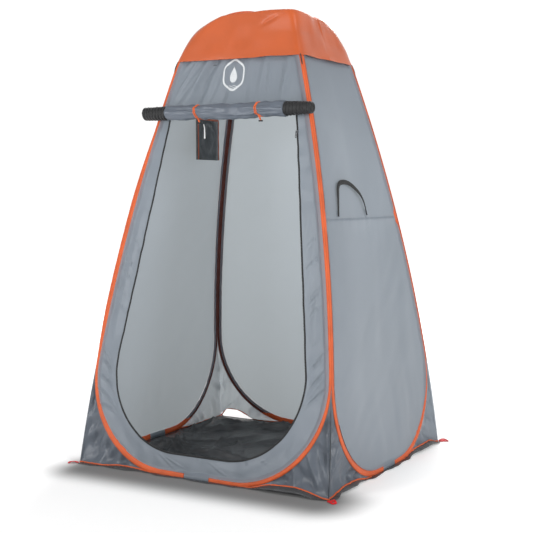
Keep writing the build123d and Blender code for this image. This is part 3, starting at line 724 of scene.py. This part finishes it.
for wall in HOOPS:
    ends = ("left", "right") if wall in ("front", "back") else ("front", "rear")
    hems = []
    for side, end in zip((-1, 1), ends):
        u, z, t, angles, depth = gusset_grid(wall, side)
        seed = SEEDS[wall] + 300 + 10 * side
        loose = np.sin(math.pi * np.clip(t, 0, 1)) ** 0.7 * smooth(depth, 0.0, 0.05)[:, None]
        d = -0.0150 + 0.0080 * noise1(angles * 15, seed)[:, None]
        d = d + 0.0110 * folds(u, z, 90 + 14 * side, 0.022, seed + 1, 11)
        d = d + 0.0040 * folds(u, z, 90 - 38 * side, 0.034, seed + 2, 7)
        for k in range(7):
            spot = np.random.default_rng(seed + 40 + k).uniform(0, 1, 4)
            foot = (side * (0.36 + 0.20 * spot[0]), 0.01 + 0.12 * spot[1])
            head = (foot[0] - side * (0.10 * spot[2] - 0.02), foot[1] + 0.07 + 0.14 * spot[3])
            d = d + crease(u, z, foot, head, 0.0050, 0.0090)
        rough = 0.0018 * noise1(u * 60, seed + 3) * smooth(t, 0.6, 1) * smooth(-z, -0.10, -0.02)
        d = np.clip(d * loose + rough, -0.0380, 0.0060)
        cloth = grid(f"{wall}_corner_cloth_{end}", on_wall(wall, u, z, MID + d), stacked(u, z))
        # The gussets of the front wall and at the front ends of the side walls take the darker cloth: painted
        # shade.
        finish_piece(cloth, wall, "gusset" if "front" in (wall, end) else "wall", f"{wall}_gusset_{end}")
        panels[f"{wall}_{end}"] = cloth
        rim = np.concatenate([stacked(u[:, 0], z[:, 0]), stacked(u[::-1, -1], z[::-1, -1])])
        centre, radius = HOOPS[wall][1:3]
        edge = side_x if wall in ("front", "back") else side_edge
        line = np.linspace(centre, float(edge(FOOT_Z)), 200)
        rise = radius - np.sqrt(np.maximum(radius ** 2 - (line - centre) ** 2, 0))
        line = line[rise > hem_lift(wall, side * line) - 0.004]
        high = hem_lift(wall, side * line)
        wave = 0.0018 * noise1(side * line * 60, seed + 3)
        path = on_wall(wall, side * line, np.maximum(high, 0.0036), MID + wave)
        thick = 0.0032 + 0.0005 * noise1(line * 90, seed + 4)
        hems.append(tube(f"{wall}_hem_{end}", path, thick, 10))
    finish_piece(joined(f"{wall}_hem_piping", hems), wall, "sleeve", f"{wall}_hem")


# ---------------------------------------------------------------- doorway zip
line = even(door(), 1400)
normal = inward(line)
width = np.array([-0.0060, -0.0042, -0.0018, 0.0, 0.0010, 0.0014, 0.0010, 0.0, -0.0018, -0.0042, -0.0060])
height = np.array([0.0007, 0.0007, 0.0009, 0.0016, 0.0013, 0.0, -0.0013, -0.0016, -0.0009, -0.0007, -0.0007])
u = line[:, :1] + normal[:, :1] * width[None]
z = line[:, 1:] + normal[:, 1:] * width[None]
at = np.arange(len(line)) * 0.0031
rim = line - normal * 0.006
wave = front_relief(rim[:, 0], rim[:, 1])[:, None]
tape = grid("door_zip_tape", on_wall("front", u, z, MID + height[None] + wave),
            stacked(at[:, None], width), round_rows=True, round_columns=True)
teeth_points, teeth_faces = [], []
for k in range(0, len(line), 2):
    o, n = line[k], normal[k]
    along = np.array([n[1], -n[0]])
    start = len(teeth_points)
    for da in (-0.0011, 0.0011):
        for dn in (-0.0008, 0.0022):
            for dd in (-0.0019, 0.0019):
                q = o + along * da + n * dn
                d = MID + dd * (1 if dn < 0 else 0.6) + wave[k, 0]
                teeth_points.append(on_wall("front", q[0], q[1], d))
    for face in ((0, 1, 3, 2), (4, 6, 7, 5), (0, 4, 5, 1), (2, 3, 7, 6), (0, 2, 6, 4), (1, 5, 7, 3)):
        teeth_faces.append(tuple(start + i for i in face))
teeth = mesh("door_zip_teeth", teeth_points, teeth_faces, np.zeros((len(teeth_points), 2)))
finish_piece(joined("door_zip_line", [tape, teeth]), "front", "zip", "door_zip")


# ---------------------------------------------------------------- rolled door
low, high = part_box("door_roll")
ROLL_X = (low.x, high.x)
ROLL_R = 0.031
roll_centre = middle(low, high)
ties = [middle(*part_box(f"tie_loop_{side}")).x for side in ("left", "right")]


def roll_radius(x, angle):
    """Radius of the rolled cloth: pinched by its ties, with creases that spread out from them."""
    r = np.full_like(x, ROLL_R)
    for k, tie in enumerate(ties):
        off = np.abs(x - tie)
        r = r - 0.0052 * np.exp(-(off / 0.020) ** 2)
        spokes = noise1(angle * 3.2 + 9 * k, 420 + k) * smooth(off, 0.004, 0.03)
        r = r + 0.0052 * np.exp(-off / 0.050) * spokes
    r = r + 0.0036 * noise2(x / 0.030, angle * 1.2 + x * 6, 422)
    r = r + 0.0034 * noise2(x / 0.09, angle * 4.0 - x * 14, 423)
    return r


def roll_point(x, r, angle):
    """Point of the roll; it sags a little between its ties, and its lower side is flatter."""
    off = x - np.mean(ties)
    sag = -0.003 * np.cos(off / 0.15 * math.pi / 2) * (np.abs(off) < 0.15)
    y = roll_centre.y + r * np.cos(angle) * 1.02
    z = roll_centre.z + sag + r * np.sin(angle) * 0.98 - 0.001
    return stacked(x, y, z)


angles = turn(72)[None]
x = np.linspace(ROLL_X[0], ROLL_X[1], 260)[:, None]
flap = 0.0016 * smooth(np.mod(angles - 3.9 + 0.12 * noise1(x * 9, 424), 2 * math.pi), 0.0, 0.25)
rolled = grid("door_roll_cloth", roll_point(x, roll_radius(x, angles) + flap - 0.0008, angles),
              stacked(x, angles * ROLL_R), round_columns=True, caps=True)
# The rolled door's cloth is darker than the wall it comes from: painted shade.
finish_piece(rolled, "front", "roll", "door_roll")

for name, inner, sign in (("left", ROLL_X[0], -1), ("right", ROLL_X[1], 1)):
    low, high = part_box(f"zip_tape_end_{name}")
    reach = high.x - low.x
    t = np.linspace(0, 1, 160)[:, None]
    rib = np.abs(np.sin(t * math.pi * 8 + 0.3 * noise1(t * 9, 430))) ** 0.55
    taper = 0.0020 if name == "left" else 0.0055
    r = ROLL_R - taper * t - 0.004 * (1 - rib) + 0.0008 * noise2(t * 20, angles * 1.3, 431 + sign)
    r = r * np.where(t > 0.985, 0.80, 1.0)
    x = inner + sign * (0.0004 + t * (reach - 0.002)) + 0.0015 * np.sin(angles + 4 * t)
    ends = [grid(f"roll_end_{name}", roll_point(x, r, angles), round_columns=True, caps=True)]
    spin = np.linspace(0, 2 * math.pi * 4.5, 220)
    rr = 0.004 + (ROLL_R * 0.70 - 0.004) * spin / spin[-1]
    spiral = roll_point(np.full_like(spin, inner + sign * (reach - 0.0012)), rr, spin)
    ends.append(tube(f"roll_spiral_{name}", spiral, 0.0011, 6, up=(1, 0, 0)))
    finish_piece(joined(f"roll_tape_{name}", ends), "front", "zip", f"zip_tape_end_{name}")

for tie, name in zip(ties, ("left", "right")):
    spin = turn(96)
    strands = []
    for part, shift in enumerate((-0.0026, 0.0026)):
        x = tie + shift + 0.006 * np.cos(spin + 0.4 + 0.3 * part)
        r = roll_radius(x, spin) + 0.0016
        strands.append(tube(f"tie_{name}_{part}", roll_point(x, r, spin), 0.0022, 8, closed=True, up=(1, 0, 0)))
    knot = middle(*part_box(f"tie_toggle_{name}"))
    for part, shift in enumerate((-0.0026, 0.0026)):
        top = roll_point(np.array(tie + shift), np.array(ROLL_R - 0.006), np.array(-1.9))
        drop = np.linspace(0, 1, 12)[:, None]
        path = np.array(top) * (1 - drop) + np.array([tie + shift * 0.6, knot.y, knot.z + 0.0036]) * drop
        strands.append(tube(f"tie_end_{name}_{part}", path, 0.0018, 8, up=(1, 0, 0)))
    finish_piece(joined(f"tie_cord_{name}", strands), "front", "elastic", f"tie_loop_{name}")
    t = np.linspace(-1, 1, 60)
    profile = 0.0032 * np.sqrt(np.clip(1 - np.abs(t) ** 8, 0.02, 1)) * (1 - 0.28 * np.exp(-(t / 0.12) ** 2))
    profile = profile * (1 - 0.07 * (np.abs(np.sin(t * 14)) > 0.93))
    toggle = tube(f"toggle_bar_{name}", stacked(tie + 0.0107 * t, knot.y, knot.z), profile, 20)
    finish_piece(toggle, f"toggle_{name}", "plastic", f"tie_toggle_{name}")

# Care label: one blank layer, curled a little.
low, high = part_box("care_label")
v = np.linspace(0, 1, 40)[:, None]
h = np.linspace(-1, 1, 24)[None]
mid, half_x = middle(low, high), (high.x - low.x) / 2
x = mid.x - 0.004 + half_x * h * 0.55 * (1 - 0.10 * np.exp(-v / 0.1)) + 0.007 * v
y = mid.y - 0.010 * h + 0.003 * np.sin(v * 4 + 0.5) + 0.003 * h ** 2 * v
y = y + 0.0015 * noise2(v * 6, h * 2, 440)
label = grid("care_label_tag", stacked(x, y, high.z - (high.z - low.z) * v))
finish_piece(label, "front", "label", "care_label")


# ---------------------------------------------------------------- zip slider and pulls
def rounded_box(name, centre, half, tilt, waist=0.0):
    """Block with rounded edges: a superellipsoid stretched to size, with a waist across it."""
    a = np.linspace(-math.pi / 2, math.pi / 2, 24)[:, None]
    b = np.linspace(-math.pi, math.pi, 40, endpoint=False)[None]
    z = curve(np.sin(a), ROUNDING)
    x = curve(np.cos(a), ROUNDING) * curve(np.cos(b), ROUNDING) * (1 - waist * (1 - z ** 2)) * half[0]
    y = curve(np.cos(a), ROUNDING) * curve(np.sin(b), ROUNDING) * half[1]
    z = z * half[2]
    c, s = math.cos(tilt), math.sin(tilt)
    return grid(name, stacked(x * c + z * s, y, z * c - x * s) + np.array(centre), round_columns=True)


ROUNDING = 0.4                       # power of the blocks' sines: 1 would be a plain ellipsoid
PLATE = (0.0058, 0.0009, 0.0060)     # half sizes of each plate of the slider
CORE = (0.0014, 0.0030, 0.0024)
PLATE_OFF, BRIDGE_OFF = 0.0030, 0.0042

centre = middle(*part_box("zip_slider"))
tilt = math.atan(DOOR_SPREAD)
blocks = []
for k, side in enumerate((-1, 1)):
    place = centre + Vector((0, side * PLATE_OFF, 0))
    blocks.append(rounded_box(f"slider_{k}", place, PLATE, tilt, waist=0.25))
blocks.append(rounded_box("slider_core", centre + Vector((-0.0022, 0, 0.003)), CORE, tilt))
for side in (-1, 1):
    a = np.linspace(0.15, math.pi - 0.15, 16)
    path = stacked(centre.x, centre.y + side * (BRIDGE_OFF + 0.0016 * np.sin(a)), centre.z + 0.0042 * np.cos(a))
    blocks.append(tube(f"slider_bridge_{side}", path, 0.0007, 8, up=(1, 0, 0)))
finish_piece(joined("zip_slider_body", blocks), "slider", "metal", "zip_slider")

# A pull is a flat tab with a slot: each row has a half-width, a half-length, where its middle is
# and how square its ends are.
PULL_RIM = (0.0035, 0.0150, 0.0150, 0.35)
PULL_SLOT = (0.0016, 0.0034, 0.0235, 0.8)
for name in ("outer", "inner"):
    low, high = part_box(f"zip_pull_{name}")
    mid = middle(low, high)
    top = Vector((mid.x, high.y if name == "outer" else mid.y, high.z))
    bottom = Vector((mid.x, low.y if name == "outer" else mid.y, low.z))
    down = (bottom - top).normalized()
    out = Vector((0, down.z, -down.y))
    a = turn(48)
    rings = []
    for (half, tall, place, power), lift in ((PULL_RIM, 0.0003), (PULL_RIM, 0.0011),
                                             (PULL_SLOT, 0.0013), (PULL_SLOT, 0.0001)):
        across, along = half * curve(np.cos(a), 0.55), place + tall * curve(np.sin(a), power)
        rings.append(np.array(top - out * lift) + across[:, None] * [1, 0, 0] + along[:, None] * np.array(down))
    pull = grid(f"pull_tab_{name}", np.array(rings), round_rows=True, round_columns=True)
    finish_piece(pull, f"{name}_pull", "metal", f"zip_pull_{name}")


# ---------------------------------------------------------------- emblem: a plain drop in a ring
PRINT_LIFT = 0.0010                  # the print stands this far off the cloth, so that it shows


def on_front(u, z, lift):
    """Points on the front wall's folded cloth, lifted off it a little."""
    u, z = np.broadcast_arrays(u, z)
    return on_wall("front", u, z, MID + front_relief(u, z) + lift)


a = turn(120)[:, None]
corner = 1 + 0.035 * np.cos(6 * (a - math.pi / 2))
w = np.linspace(0, 1, 5)[None]
ring_r = EMBLEM_R * corner * (0.86 + 0.14 * w)
ring = grid("emblem_ring", on_front(EMBLEM_X + 0.9 * ring_r * np.cos(a),
                                    EMBLEM_Z + 1.1 * ring_r * np.sin(a), PRINT_LIFT), round_rows=True)
w = np.linspace(0, 1, 10)[None]
drop_half = 0.024 * np.sin(a) * np.sin(a / 2) ** 1.3
drop_z = EMBLEM_Z + 0.002 + 0.034 * np.cos(a) * w - 0.010 * (1 - w)
drop = grid("emblem_drop", on_front(EMBLEM_X + drop_half * w, drop_z, PRINT_LIFT), round_rows=True)
bars = []
for k, (z0, half) in enumerate(((EMBLEM_Z - 0.047, 0.020), (EMBLEM_Z - 0.055, 0.013))):
    u = np.linspace(-half, half, 24)[:, None]
    z = z0 + 0.002 * np.sin(u * 260) + 0.0024 * np.linspace(-0.5, 0.5, 3)[None]
    bars.append(grid(f"emblem_wave_{k}", on_front(EMBLEM_X + u, z, PRINT_LIFT)))
emblem = joined("front_emblem", [ring, drop, *bars])
finish_piece(emblem, "front", "print")


# ---------------------------------------------------------------- fly cap
def arch_reach(half, top, z):
    """Half-width of a hoop's arch at height z."""
    rise = top - CORNER_TOP
    radius = (half ** 2 + rise ** 2) / (2 * rise)
    return np.sqrt(np.maximum(radius ** 2 - (np.maximum(z, CORNER_TOP) - top + radius) ** 2, 0.0004))


def cap_point(angle, t):
    """(radius, height) of the cap at an angle from +X, t from the hem (0) to the crown (1).

    It follows the arches of the hoops, so its corners round off upwards, but the near right corner
    is pushed out by the cloth bunched in it."""
    c, s = np.cos(angle), np.sin(angle)
    near = smooth(c, 0.10, 0.60) * smooth(-s, 0.02, 0.50)
    ahead = np.abs(s) ** 2
    shoulder = 1.899 + 0.014 * ahead + 0.006 * near
    rise = np.clip(t / 0.70, 0, 1)
    over = np.clip((t - 0.70) / 0.30, 0, 1)
    z = CAP_HEM + (shoulder - CAP_HEM) * rise
    half_x = side_x(z) + 0.006
    half_y = front_y(z) + 0.007
    # the flat part of each face ends at its hoop's arch, and a rounded corner joins the faces
    flat_x = arch_reach(float(side_x(CORNER_TOP)), FRONT_ARCH, z) + 0.002
    flat_y = arch_reach(float(side_edge(CORNER_TOP)), SIDE_ARCH, z) + 0.002
    flat_x = np.minimum(flat_x + 0.92 * near * (half_x - flat_x), 0.985 * half_x)
    flat_y = np.minimum(flat_y + 0.92 * near * (half_y - flat_y), 0.985 * half_y)
    ax, ay = half_y - flat_y, half_x - flat_x
    cut = (flat_x * ax + half_y * ay) / np.maximum(np.abs(c) * ax + np.abs(s) * ay, 1e-6)
    sides = half_x / np.maximum(np.abs(c), 1e-6), half_y / np.maximum(np.abs(s), 1e-6), cut
    sharp = 30 - 18 * over
    r = 1.003 * sum((side / half_x) ** -sharp for side in sides) ** (-1 / sharp) * half_x
    r = r * (1 + 0.045 * near ** 2 * smooth(t, 0.35, 0.68)) * (1 - over ** 1.35)
    z = z + (CAP_TOP - 0.003 - shoulder) * over ** 1.15
    return r, z


rows, columns = 120, 288
a = turn(columns)[None]
t = np.linspace(0, 1, rows)[:, None] ** 0.95
t = np.minimum(t, 0.9995)
r, z = cap_point(a, t)
corner_at = np.array([math.atan2(sy * CAP_CORNER_Y, sx * CAP_CORNER_X) for sx in (-1, 1) for sy in (-1, 1)])
gap = np.min(np.abs((a[..., None] - corner_at + math.pi) % (2 * math.pi) - math.pi), -1)
seam = 0.0016 * np.exp(-(gap * 0.30 / 0.0045) ** 2) * (1 - t)
hem = np.exp(-t / 0.05)
wave = 0.0045 * hem * noise1(a * 9 / (2 * math.pi) * 2.2, 501)
slack = 0.0035 * noise2(a * 5.5, t * 3.5, 502) * smooth(t, 0.05, 0.3) * smooth(-t, -0.98, -0.7)
dent = -0.010 * np.exp(-((a + 0.92) / 0.07) ** 2 - ((t - 0.60) / 0.05) ** 2)
off = a - 2 * math.pi + 1.00
dent = dent - 0.008 * np.exp(-(off / 0.09) ** 2 - ((t - 0.55 - 0.5 * off) / 0.035) ** 2)
r = r + (seam + wave + slack + dent)
crown = noise2(np.cos(a) * (1 - t) * 4, np.sin(a) * (1 - t) * 4, 504) * smooth(t, 0.6, 0.9)
z = z + 0.0025 * hem * noise1(a * 11 / (2 * math.pi) * 2.5, 503) + 0.0015 * crown


def cap_ring(r, z):
    return stacked(r * np.cos(a), r * np.sin(a), z)


# The hem is turned up inside: two rows under the rim, then the cap itself.
shell = np.concatenate([cap_ring(r[2:3] - 0.0030, z[:1] + 0.012), cap_ring(r[:1] - 0.0028, z[:1] + 0.002),
                        cap_ring(r, z)])
uv = stacked(a * 0.28, np.linspace(0, 0.45, len(shell))[:, None])
cap = grid("fly_cap_cloth", shell, uv, round_columns=True)


def flattened(obj):
    """Give a soft piece between the walls a mesh of its own."""
    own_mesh(obj)


finish_piece(cap, "cap", "cap", "rain_cap")
flattened(cap)

strips = []
z = np.linspace(TIE_LOW, TIE_HIGH, 14)
bow = 0.002 * np.sin((z - TIE_LOW) / (TIE_HIGH - TIE_LOW) * math.pi) - 0.0035
for sx in (-1, 1):
    for sy in (-1, 1):
        path = stacked(sx * (side_x(z) + bow), sy * (front_y(z) + bow), z)
        strips.append(tube(f"cap_tie_{sx}_{sy}", path, 0.0026, 8, up=(sy, -sx, 0)))
cap_ties = joined("cap_elastics", strips)
finish_piece(cap_ties, "cap", "elastic_black", "cap_ties")
flattened(cap_ties)

# Mesh vent under the cap: a shallow vault sewn to the four walls.
a = np.linspace(-1, 1, 60)
vent_x, vent_y = [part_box("roof_mesh")[1][i] - 0.001 for i in (0, 1)]
gx, gy = np.meshgrid(a * vent_x, a * vent_y, indexing="ij")
vault = np.minimum(1 - (gx / vent_x) ** 2, 1 - (gy / vent_y) ** 2)
vault = vault - 0.12 * np.exp(-np.abs((gx / vent_x) ** 2 - (gy / vent_y) ** 2) / 0.05) * vault
gz = 1.701 + 0.086 * vault + 0.0015 * noise2(gx * 18, gy * 18, 510) * vault
vent = grid("roof_vent_net", np.stack([gx, gy, gz], -1), np.stack([gx, gy], -1))
finish_piece(vent, "front", "net", "roof_mesh")
flattened(vent)


# ---------------------------------------------------------------- floor sheet
low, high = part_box("floor_sheet")
gx, gy = np.meshgrid(np.linspace(low.x, high.x, 340), np.linspace(low.y, high.y, 326), indexing="ij")
pile = 0.0060 * (1 + noise2(gx * 7, gy * 7, 520)) / 2 + 0.0020 * (1 + noise2(gx * 19, gy * 19, 521)) / 2
random = np.random.default_rng(522)
for k in range(80):
    heading = random.uniform(0, math.pi)
    px, py = random.uniform(-0.55, 0.55, 2)
    off = (gx - px) * math.sin(heading) - (gy - py) * math.cos(heading)
    run = (gx - px) * math.cos(heading) + (gy - py) * math.sin(heading)
    reach = random.uniform(0.08, 0.30)
    off = off + 0.004 * np.sin(run * 25 + k)
    high_k, wide = random.uniform(0.008, 0.024), random.uniform(0.0045, 0.010)
    pile = pile + high_k * np.exp(-np.abs(off) / wide) * smooth(-np.abs(run), -reach, -0.3 * reach)
margin = np.minimum(np.minimum(gx - low.x, high.x - gx), np.minimum(gy - low.y, high.y - gy))
rise = 0.0012 + pile * smooth(margin, 0.0, 0.05)
sheet_points = np.stack([gx, gy, rise], -1)


def lip(row, wall, u):
    """The sheet's edge, turned up the wall to the hem that it is sewn to."""
    top = np.maximum(hem_lift(wall, u) - 0.001, 0.0025)
    if wall == "back":
        top = np.where((u < -0.40) & (u > -0.585), 0.0025, top)
    spill = 0.020 if wall in ("right", "front") else 0.004
    t = np.linspace(0, 1, 10)[1:, None]
    crumple = 0.0015 * noise1(u * 45, 530) + spill * (1 + 0.5 * noise1(u * 17, 531))
    crumple = crumple[None] * np.sin(math.pi * t)
    out = np.array({"front": (0, -1), "back": (0, 1), "left": (-1, 0), "right": (1, 0)}[wall])
    rows = np.repeat(row[None], len(t), 0)
    rows[..., :2] += out * (0.0035 * t[..., None] + crumple[..., None])
    rows[..., 2] = row[None, :, 2] * (1 - t) + top[None] * t
    return rows


sheets = [grid("ground_sheet_main", sheet_points, np.stack([gx, gy], -1))]
for wall, row, u in (("front", sheet_points[:, 0], gx[:, 0]), ("back", sheet_points[:, -1], gx[:, -1]),
                     ("left", sheet_points[0], gy[0]), ("right", sheet_points[-1], gy[-1])):
    rows = np.concatenate([row[None], lip(row, wall, u)])
    sheets.append(grid(f"ground_sheet_{wall}", rows))
ground = joined("ground_sheet_cloth", sheets)
finish_piece(ground, "front", "floor", "floor_sheet")
flattened(ground)


# ---------------------------------------------------------------- mesh pocket
low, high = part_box("pocket_mesh")
v = np.linspace(0, 1, 46)[:, None]
h = np.linspace(0, 1, 44)[None]
belly = 0.0042 * np.sin(math.pi * h) * np.sin(math.pi * np.clip(v, 0, 1)) ** 0.8
front_x = high.x - 0.0035 + belly + 0.0012 * noise2(v * 5, h * 4, 540) * np.sin(math.pi * v)
front_net = stacked(front_x, low.y + 0.002 + (high.y - low.y - 0.004) * h,
                    high.z - 0.001 - (high.z - low.z - 0.003) * v)
rear_net = front_net.copy()
rear_net[..., 0] = low.x + 0.002 + 0.0006 * noise2(v * 4, h * 4, 541)
bottom = rear_net[-1:] * 0.5 + front_net[-1:] * 0.5
bottom[..., 2] -= 0.001
down = np.concatenate([v * 0.19, [[0.195]], (0.40 - v * 0.19)[::-1]])
net = grid("pocket_net_cloth", np.concatenate([front_net, bottom, rear_net[::-1]]), stacked(h * 0.18, down))
finish_piece(net, "pocket", "mesh", "pocket_mesh")

low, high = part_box("pocket_binding")
MARGIN = 0.0042                      # from the edge of the binding to its middle
along = np.linspace(0, 1, 41)
up_side = stacked(low.y + MARGIN, low.z + 0.002 + (high.z - low.z - 0.006) * along)
over_top = stacked(low.y + MARGIN + (high.y - low.y - 2 * MARGIN) * along[1:-1], high.z - MARGIN)
line = np.concatenate([up_side, over_top, stacked(high.y - MARGIN, up_side[::-1, 1])])
x = middle(low, high).x - 0.0006 + 0.0010 * noise1(np.arange(len(line)) * 0.3, 550)
binding = tube("pocket_binding_tape", stacked(x, line[:, 0], line[:, 1]), 0.0043, flat=0.30, up=(1, 0, 0))
finish_piece(binding, "pocket", "binding", "pocket_binding")


# ---------------------------------------------------------------- strap, tabs and seam tape on the right wall
def rounded(corners, radii, count=160):
    """Open line through corners with its inner corners rounded."""
    points = [np.array(c, float) for c in corners]
    line = [points[0]]
    for i in range(1, len(points) - 1):
        a, b, c = points[i - 1], points[i], points[i + 1]
        cut = radii[i - 1]
        start = b + (a - b) / np.linalg.norm(a - b) * cut
        end = b + (c - b) / np.linalg.norm(c - b) * cut
        for t in np.linspace(0, 1, 12):
            line.append((1 - t) ** 2 * start + 2 * t * (1 - t) * b + t ** 2 * end)
    line.append(points[-1])
    return resampled(np.array(line), count, False)


low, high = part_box("carry_strap")
foot_z = low.z
line = rounded([(low.y + 0.0085, foot_z), (low.y + 0.056, high.z - 0.025), (low.y + 0.148, high.z - 0.0085),
                (high.y - 0.016, foot_z + 0.078), (high.y - 0.0085, foot_z)], (0.030, 0.070, 0.050))
t = np.linspace(0, 1, len(line))
tangent = np.gradient(line, axis=0)
tangent /= np.linalg.norm(tangent, axis=1)[:, None]
across = np.stack([-tangent[:, 1], tangent[:, 0]], 1)
half = 0.0052 + 0.0045 * smooth(t, 0.02, 0.30) * smooth(-t, -0.95, -0.60) - 0.0018 * smooth(t, 0.80, 0.95)
face = np.array([(-1, 0.2), (-0.92, 1), (0, 1.15), (0.92, 1), (1, 0.2)])
ring = np.concatenate([face, face[::-1] * [1, -1]])
u = line[:, :1] + across[:, :1] * half[:, None] * ring[None, :, 0]
z = line[:, 1:] + across[:, 1:] * half[:, None] * ring[None, :, 0]
lift = 0.0030 + 0.0010 * ring[None, :, 1]
strap = grid("strap_webbing", on_wall("right", u, z, lift), round_columns=True, caps=True)
finish_piece(strap, "strap", "black", "carry_strap")

tabs = []
low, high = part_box("strap_tabs")
for k, y in enumerate((low.y + 0.008, high.y - 0.008)):
    u = y + np.linspace(-0.0078, 0.0078, 16)[None]
    z = np.linspace(low.z, high.z, 26)[:, None]
    margin = np.minimum(0.0078 - np.abs(u - y), np.minimum(z - low.z, high.z - z))
    d = -0.0012 + 0.0014 * smooth(margin, 0, 0.0012) + 0.0002 * np.sin(u * 2400) * np.sin(z * 2400)
    tabs.append(grid(f"tab_{k}", on_wall("right", u, z, d)))
finish_piece(joined("strap_tab_cloth", tabs), "right", "wall", "strap_tabs")

low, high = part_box("right_seam_tape")
u = np.linspace(low.y, high.y, 220)[:, None]
v = np.linspace(-1, 1, 9)[None]
z = (low.z + high.z) / 2 + (high.z - low.z) / 2 * v + 0.0006 * noise1(u * 20, 560)
step = 0.0007 * (1 - np.abs(v) ** 6) - 0.0003 * np.exp(-((np.abs(v) - 0.75) / 0.08) ** 2)
u, z = np.broadcast_arrays(u, z)
seam_tape = grid("right_seam_strip", on_wall("right", u, z, MID + relief("right", u, z) + 0.0006 + step),
                 stacked(u, z))
finish_piece(seam_tape, "right", "wall", "right_seam_tape")


# ---------------------------------------------------------------- pegging loops
for wall, sy in (("front", -1), ("back", 1)):
    for end, sx in (("left", -1), ("right", 1)):
        root = np.array([sx * (HALF_WIDTH + 0.001), sy * (HALF_DEPTH + 0.001)])
        splay = math.radians(35)
        along = np.array([sx * math.cos(splay), sy * math.sin(splay)])
        across = np.array([-along[1], along[0]])
        a = turn(72)
        outer = np.stack([0.0228 * curve(np.cos(a), 0.45), 0.0124 * curve(np.sin(a), 0.5)], 1) + [0.0232, 0]
        hole = np.stack([0.0052 * np.cos(a), 0.0052 * np.sin(a)], 1) + [0.0330, 0]
        rows = []
        for t, top in ((0, 0), (0.25, 0), (0.6, 0), (1, 0), (1, 1), (0.6, 1), (0.25, 1), (0, 1)):
            flat = hole * (1 - t) + outer * t
            place = root + flat[:, :1] * along + flat[:, 1:] * across
            curl = 0.0050 * np.sin(math.pi * np.clip(flat[:, 0] / 0.046, 0, 1)) * (1 + flat[:, 1] / 0.02)
            height = 0.0003 + top * (0.0030 + 0.0006 * (t > 0.5) * (t < 1)) + np.maximum(curl, 0)
            rows.append(np.stack([place[:, 0], place[:, 1], height], 1))
        loop = grid(f"peg_webbing_{wall}_{end}", np.array(rows), round_rows=True, round_columns=True)
        finish_piece(loop, wall, "red", f"peg_loop_{wall}_{end}")


slope = math.hypot(1, LEAN)
inside = {wall: enclosed(inset(EDGES[wall], SLEEVE)) * slope for wall in HOOPS}
gone = enclosed(inset(DOORWAY, -0.005)) * slope
for wall in HOOPS:
    for end in (("left", "right") if wall in ("front", "back") else ("front", "rear")):
        cloth = panels[f"{wall}_{end}"]

# ---------------------------------------------------------------- floor, light and camera
FLOOR_REACH = 60.0
steps = np.linspace(-1, 1, 9)
steps = FLOOR_REACH * np.sign(steps) * steps ** 2
backdrop = grid("floor", np.array([[(x, y, 0.0) for x in steps] for y in steps]))
pale = bpy.data.materials.new("pale_floor")
pale.use_nodes = True
tree = pale.node_tree
here = tree.nodes.new("ShaderNodeTexCoord").outputs["Object"]


def step_of(operation, *values):
    """Vector Math node on the floor's position."""
    output = "Value" if operation == "LENGTH" else "Vector"
    return add_node(tree, "VectorMath", dict(enumerate(values)), output, operation=operation)


# Painted shadow: the floor's colour and its glow are darkened in a soft band along the front hem only,
# because the front wall is the one that stays where it is at every pose.
SHADOW_CENTRE, SHADOW_HALF = (0.04, -0.61, 0), (0.54, 0.03, 0)
away = step_of("ABSOLUTE", step_of("SUBTRACT", here, SHADOW_CENTRE))
away = step_of("LENGTH", step_of("MAXIMUM", step_of("SUBTRACT", away, SHADOW_HALF), (0, 0, 0)))
shade = add_node(tree, "MapRange", {"Value": away, "From Max": 0.27, "To Min": 0.20}, "Result",
                 interpolation_type="SMOOTHERSTEP")
tint = add_node(tree, "Mix", {"A": (0, 0, 0, 1), "B": (0.90, 0.90, 0.90, 1), "Factor": shade}, "Result",
                data_type="RGBA")
# The floor glows more further from the tent, so that it fades into the white backdrop.
bright = add_node(tree, "MapRange", {"Value": step_of("LENGTH", here), "From Min": 1.2, "From Max": 5.0,
                                     "To Min": 0.20, "To Max": 0.60}, "Result",
                  interpolation_type="SMOOTHSTEP")
dimmed = add_node(tree, "Math", {0: shade, 1: bright}, "Value", operation="MULTIPLY")
fill(tree, tree.nodes["Principled BSDF"], {
    "Base Color": tint, "Roughness": 0.9, "Specular IOR Level": 0.1, "Emission Color": (1, 1, 1, 1),
    "Emission Strength": dimmed})
backdrop.data.materials.append(pale)

# Soft white studio all round: the background itself is seen a little brighter than it lights.
world = bpy.data.worlds.new("studio")
bpy.context.scene.world = world
world.use_nodes = True
tree = world.node_tree
seen = add_node(tree, "LightPath", {}, "Is Camera Ray")
level = add_node(tree, "MapRange", {"Value": seen, "To Min": 0.56, "To Max": 1.05}, "Result")
fill(tree, tree.nodes["Background"], {"Color": (1, 1, 1, 1), "Strength": level})


def aimed(obj, place, aim):
    """Put a lamp or a camera in its place, facing a point."""
    obj.location = place
    obj.rotation_euler = (Vector(aim) - Vector(place)).to_track_quat("-Z", "Y").to_euler()
    bpy.context.scene.collection.objects.link(obj)


def lamp(name, place, aim, size, power):
    """Square area lamp."""
    data = bpy.data.lights.new(name, "AREA")
    data.size = size
    data.energy = power
    aimed(bpy.data.objects.new(name, data), place, aim)


lamp("key", (4.9, -1.7, 3.3), (0, 0, 1.1), 1.2, 122)
lamp("back", (-1.2, 4.8, 4.4), (0, 0, 0.7), 2.2, 215)
lamp("fill", (-2.0, -5.2, 2.1), (0, 0, 0.8), 1.6, 104)

camera = bpy.data.cameras.new("camera")
camera.lens = 74.5
camera.sensor_width = 36
camera.clip_end = 100
view = bpy.data.objects.new("camera", camera)
aimed(view, (2.421, -4.248, 1.168), (0.002, 0, 0.834))
bpy.context.scene.camera = view
bpy.context.scene.view_settings.view_transform = "Standard"

bpy.context.view_layer.update()
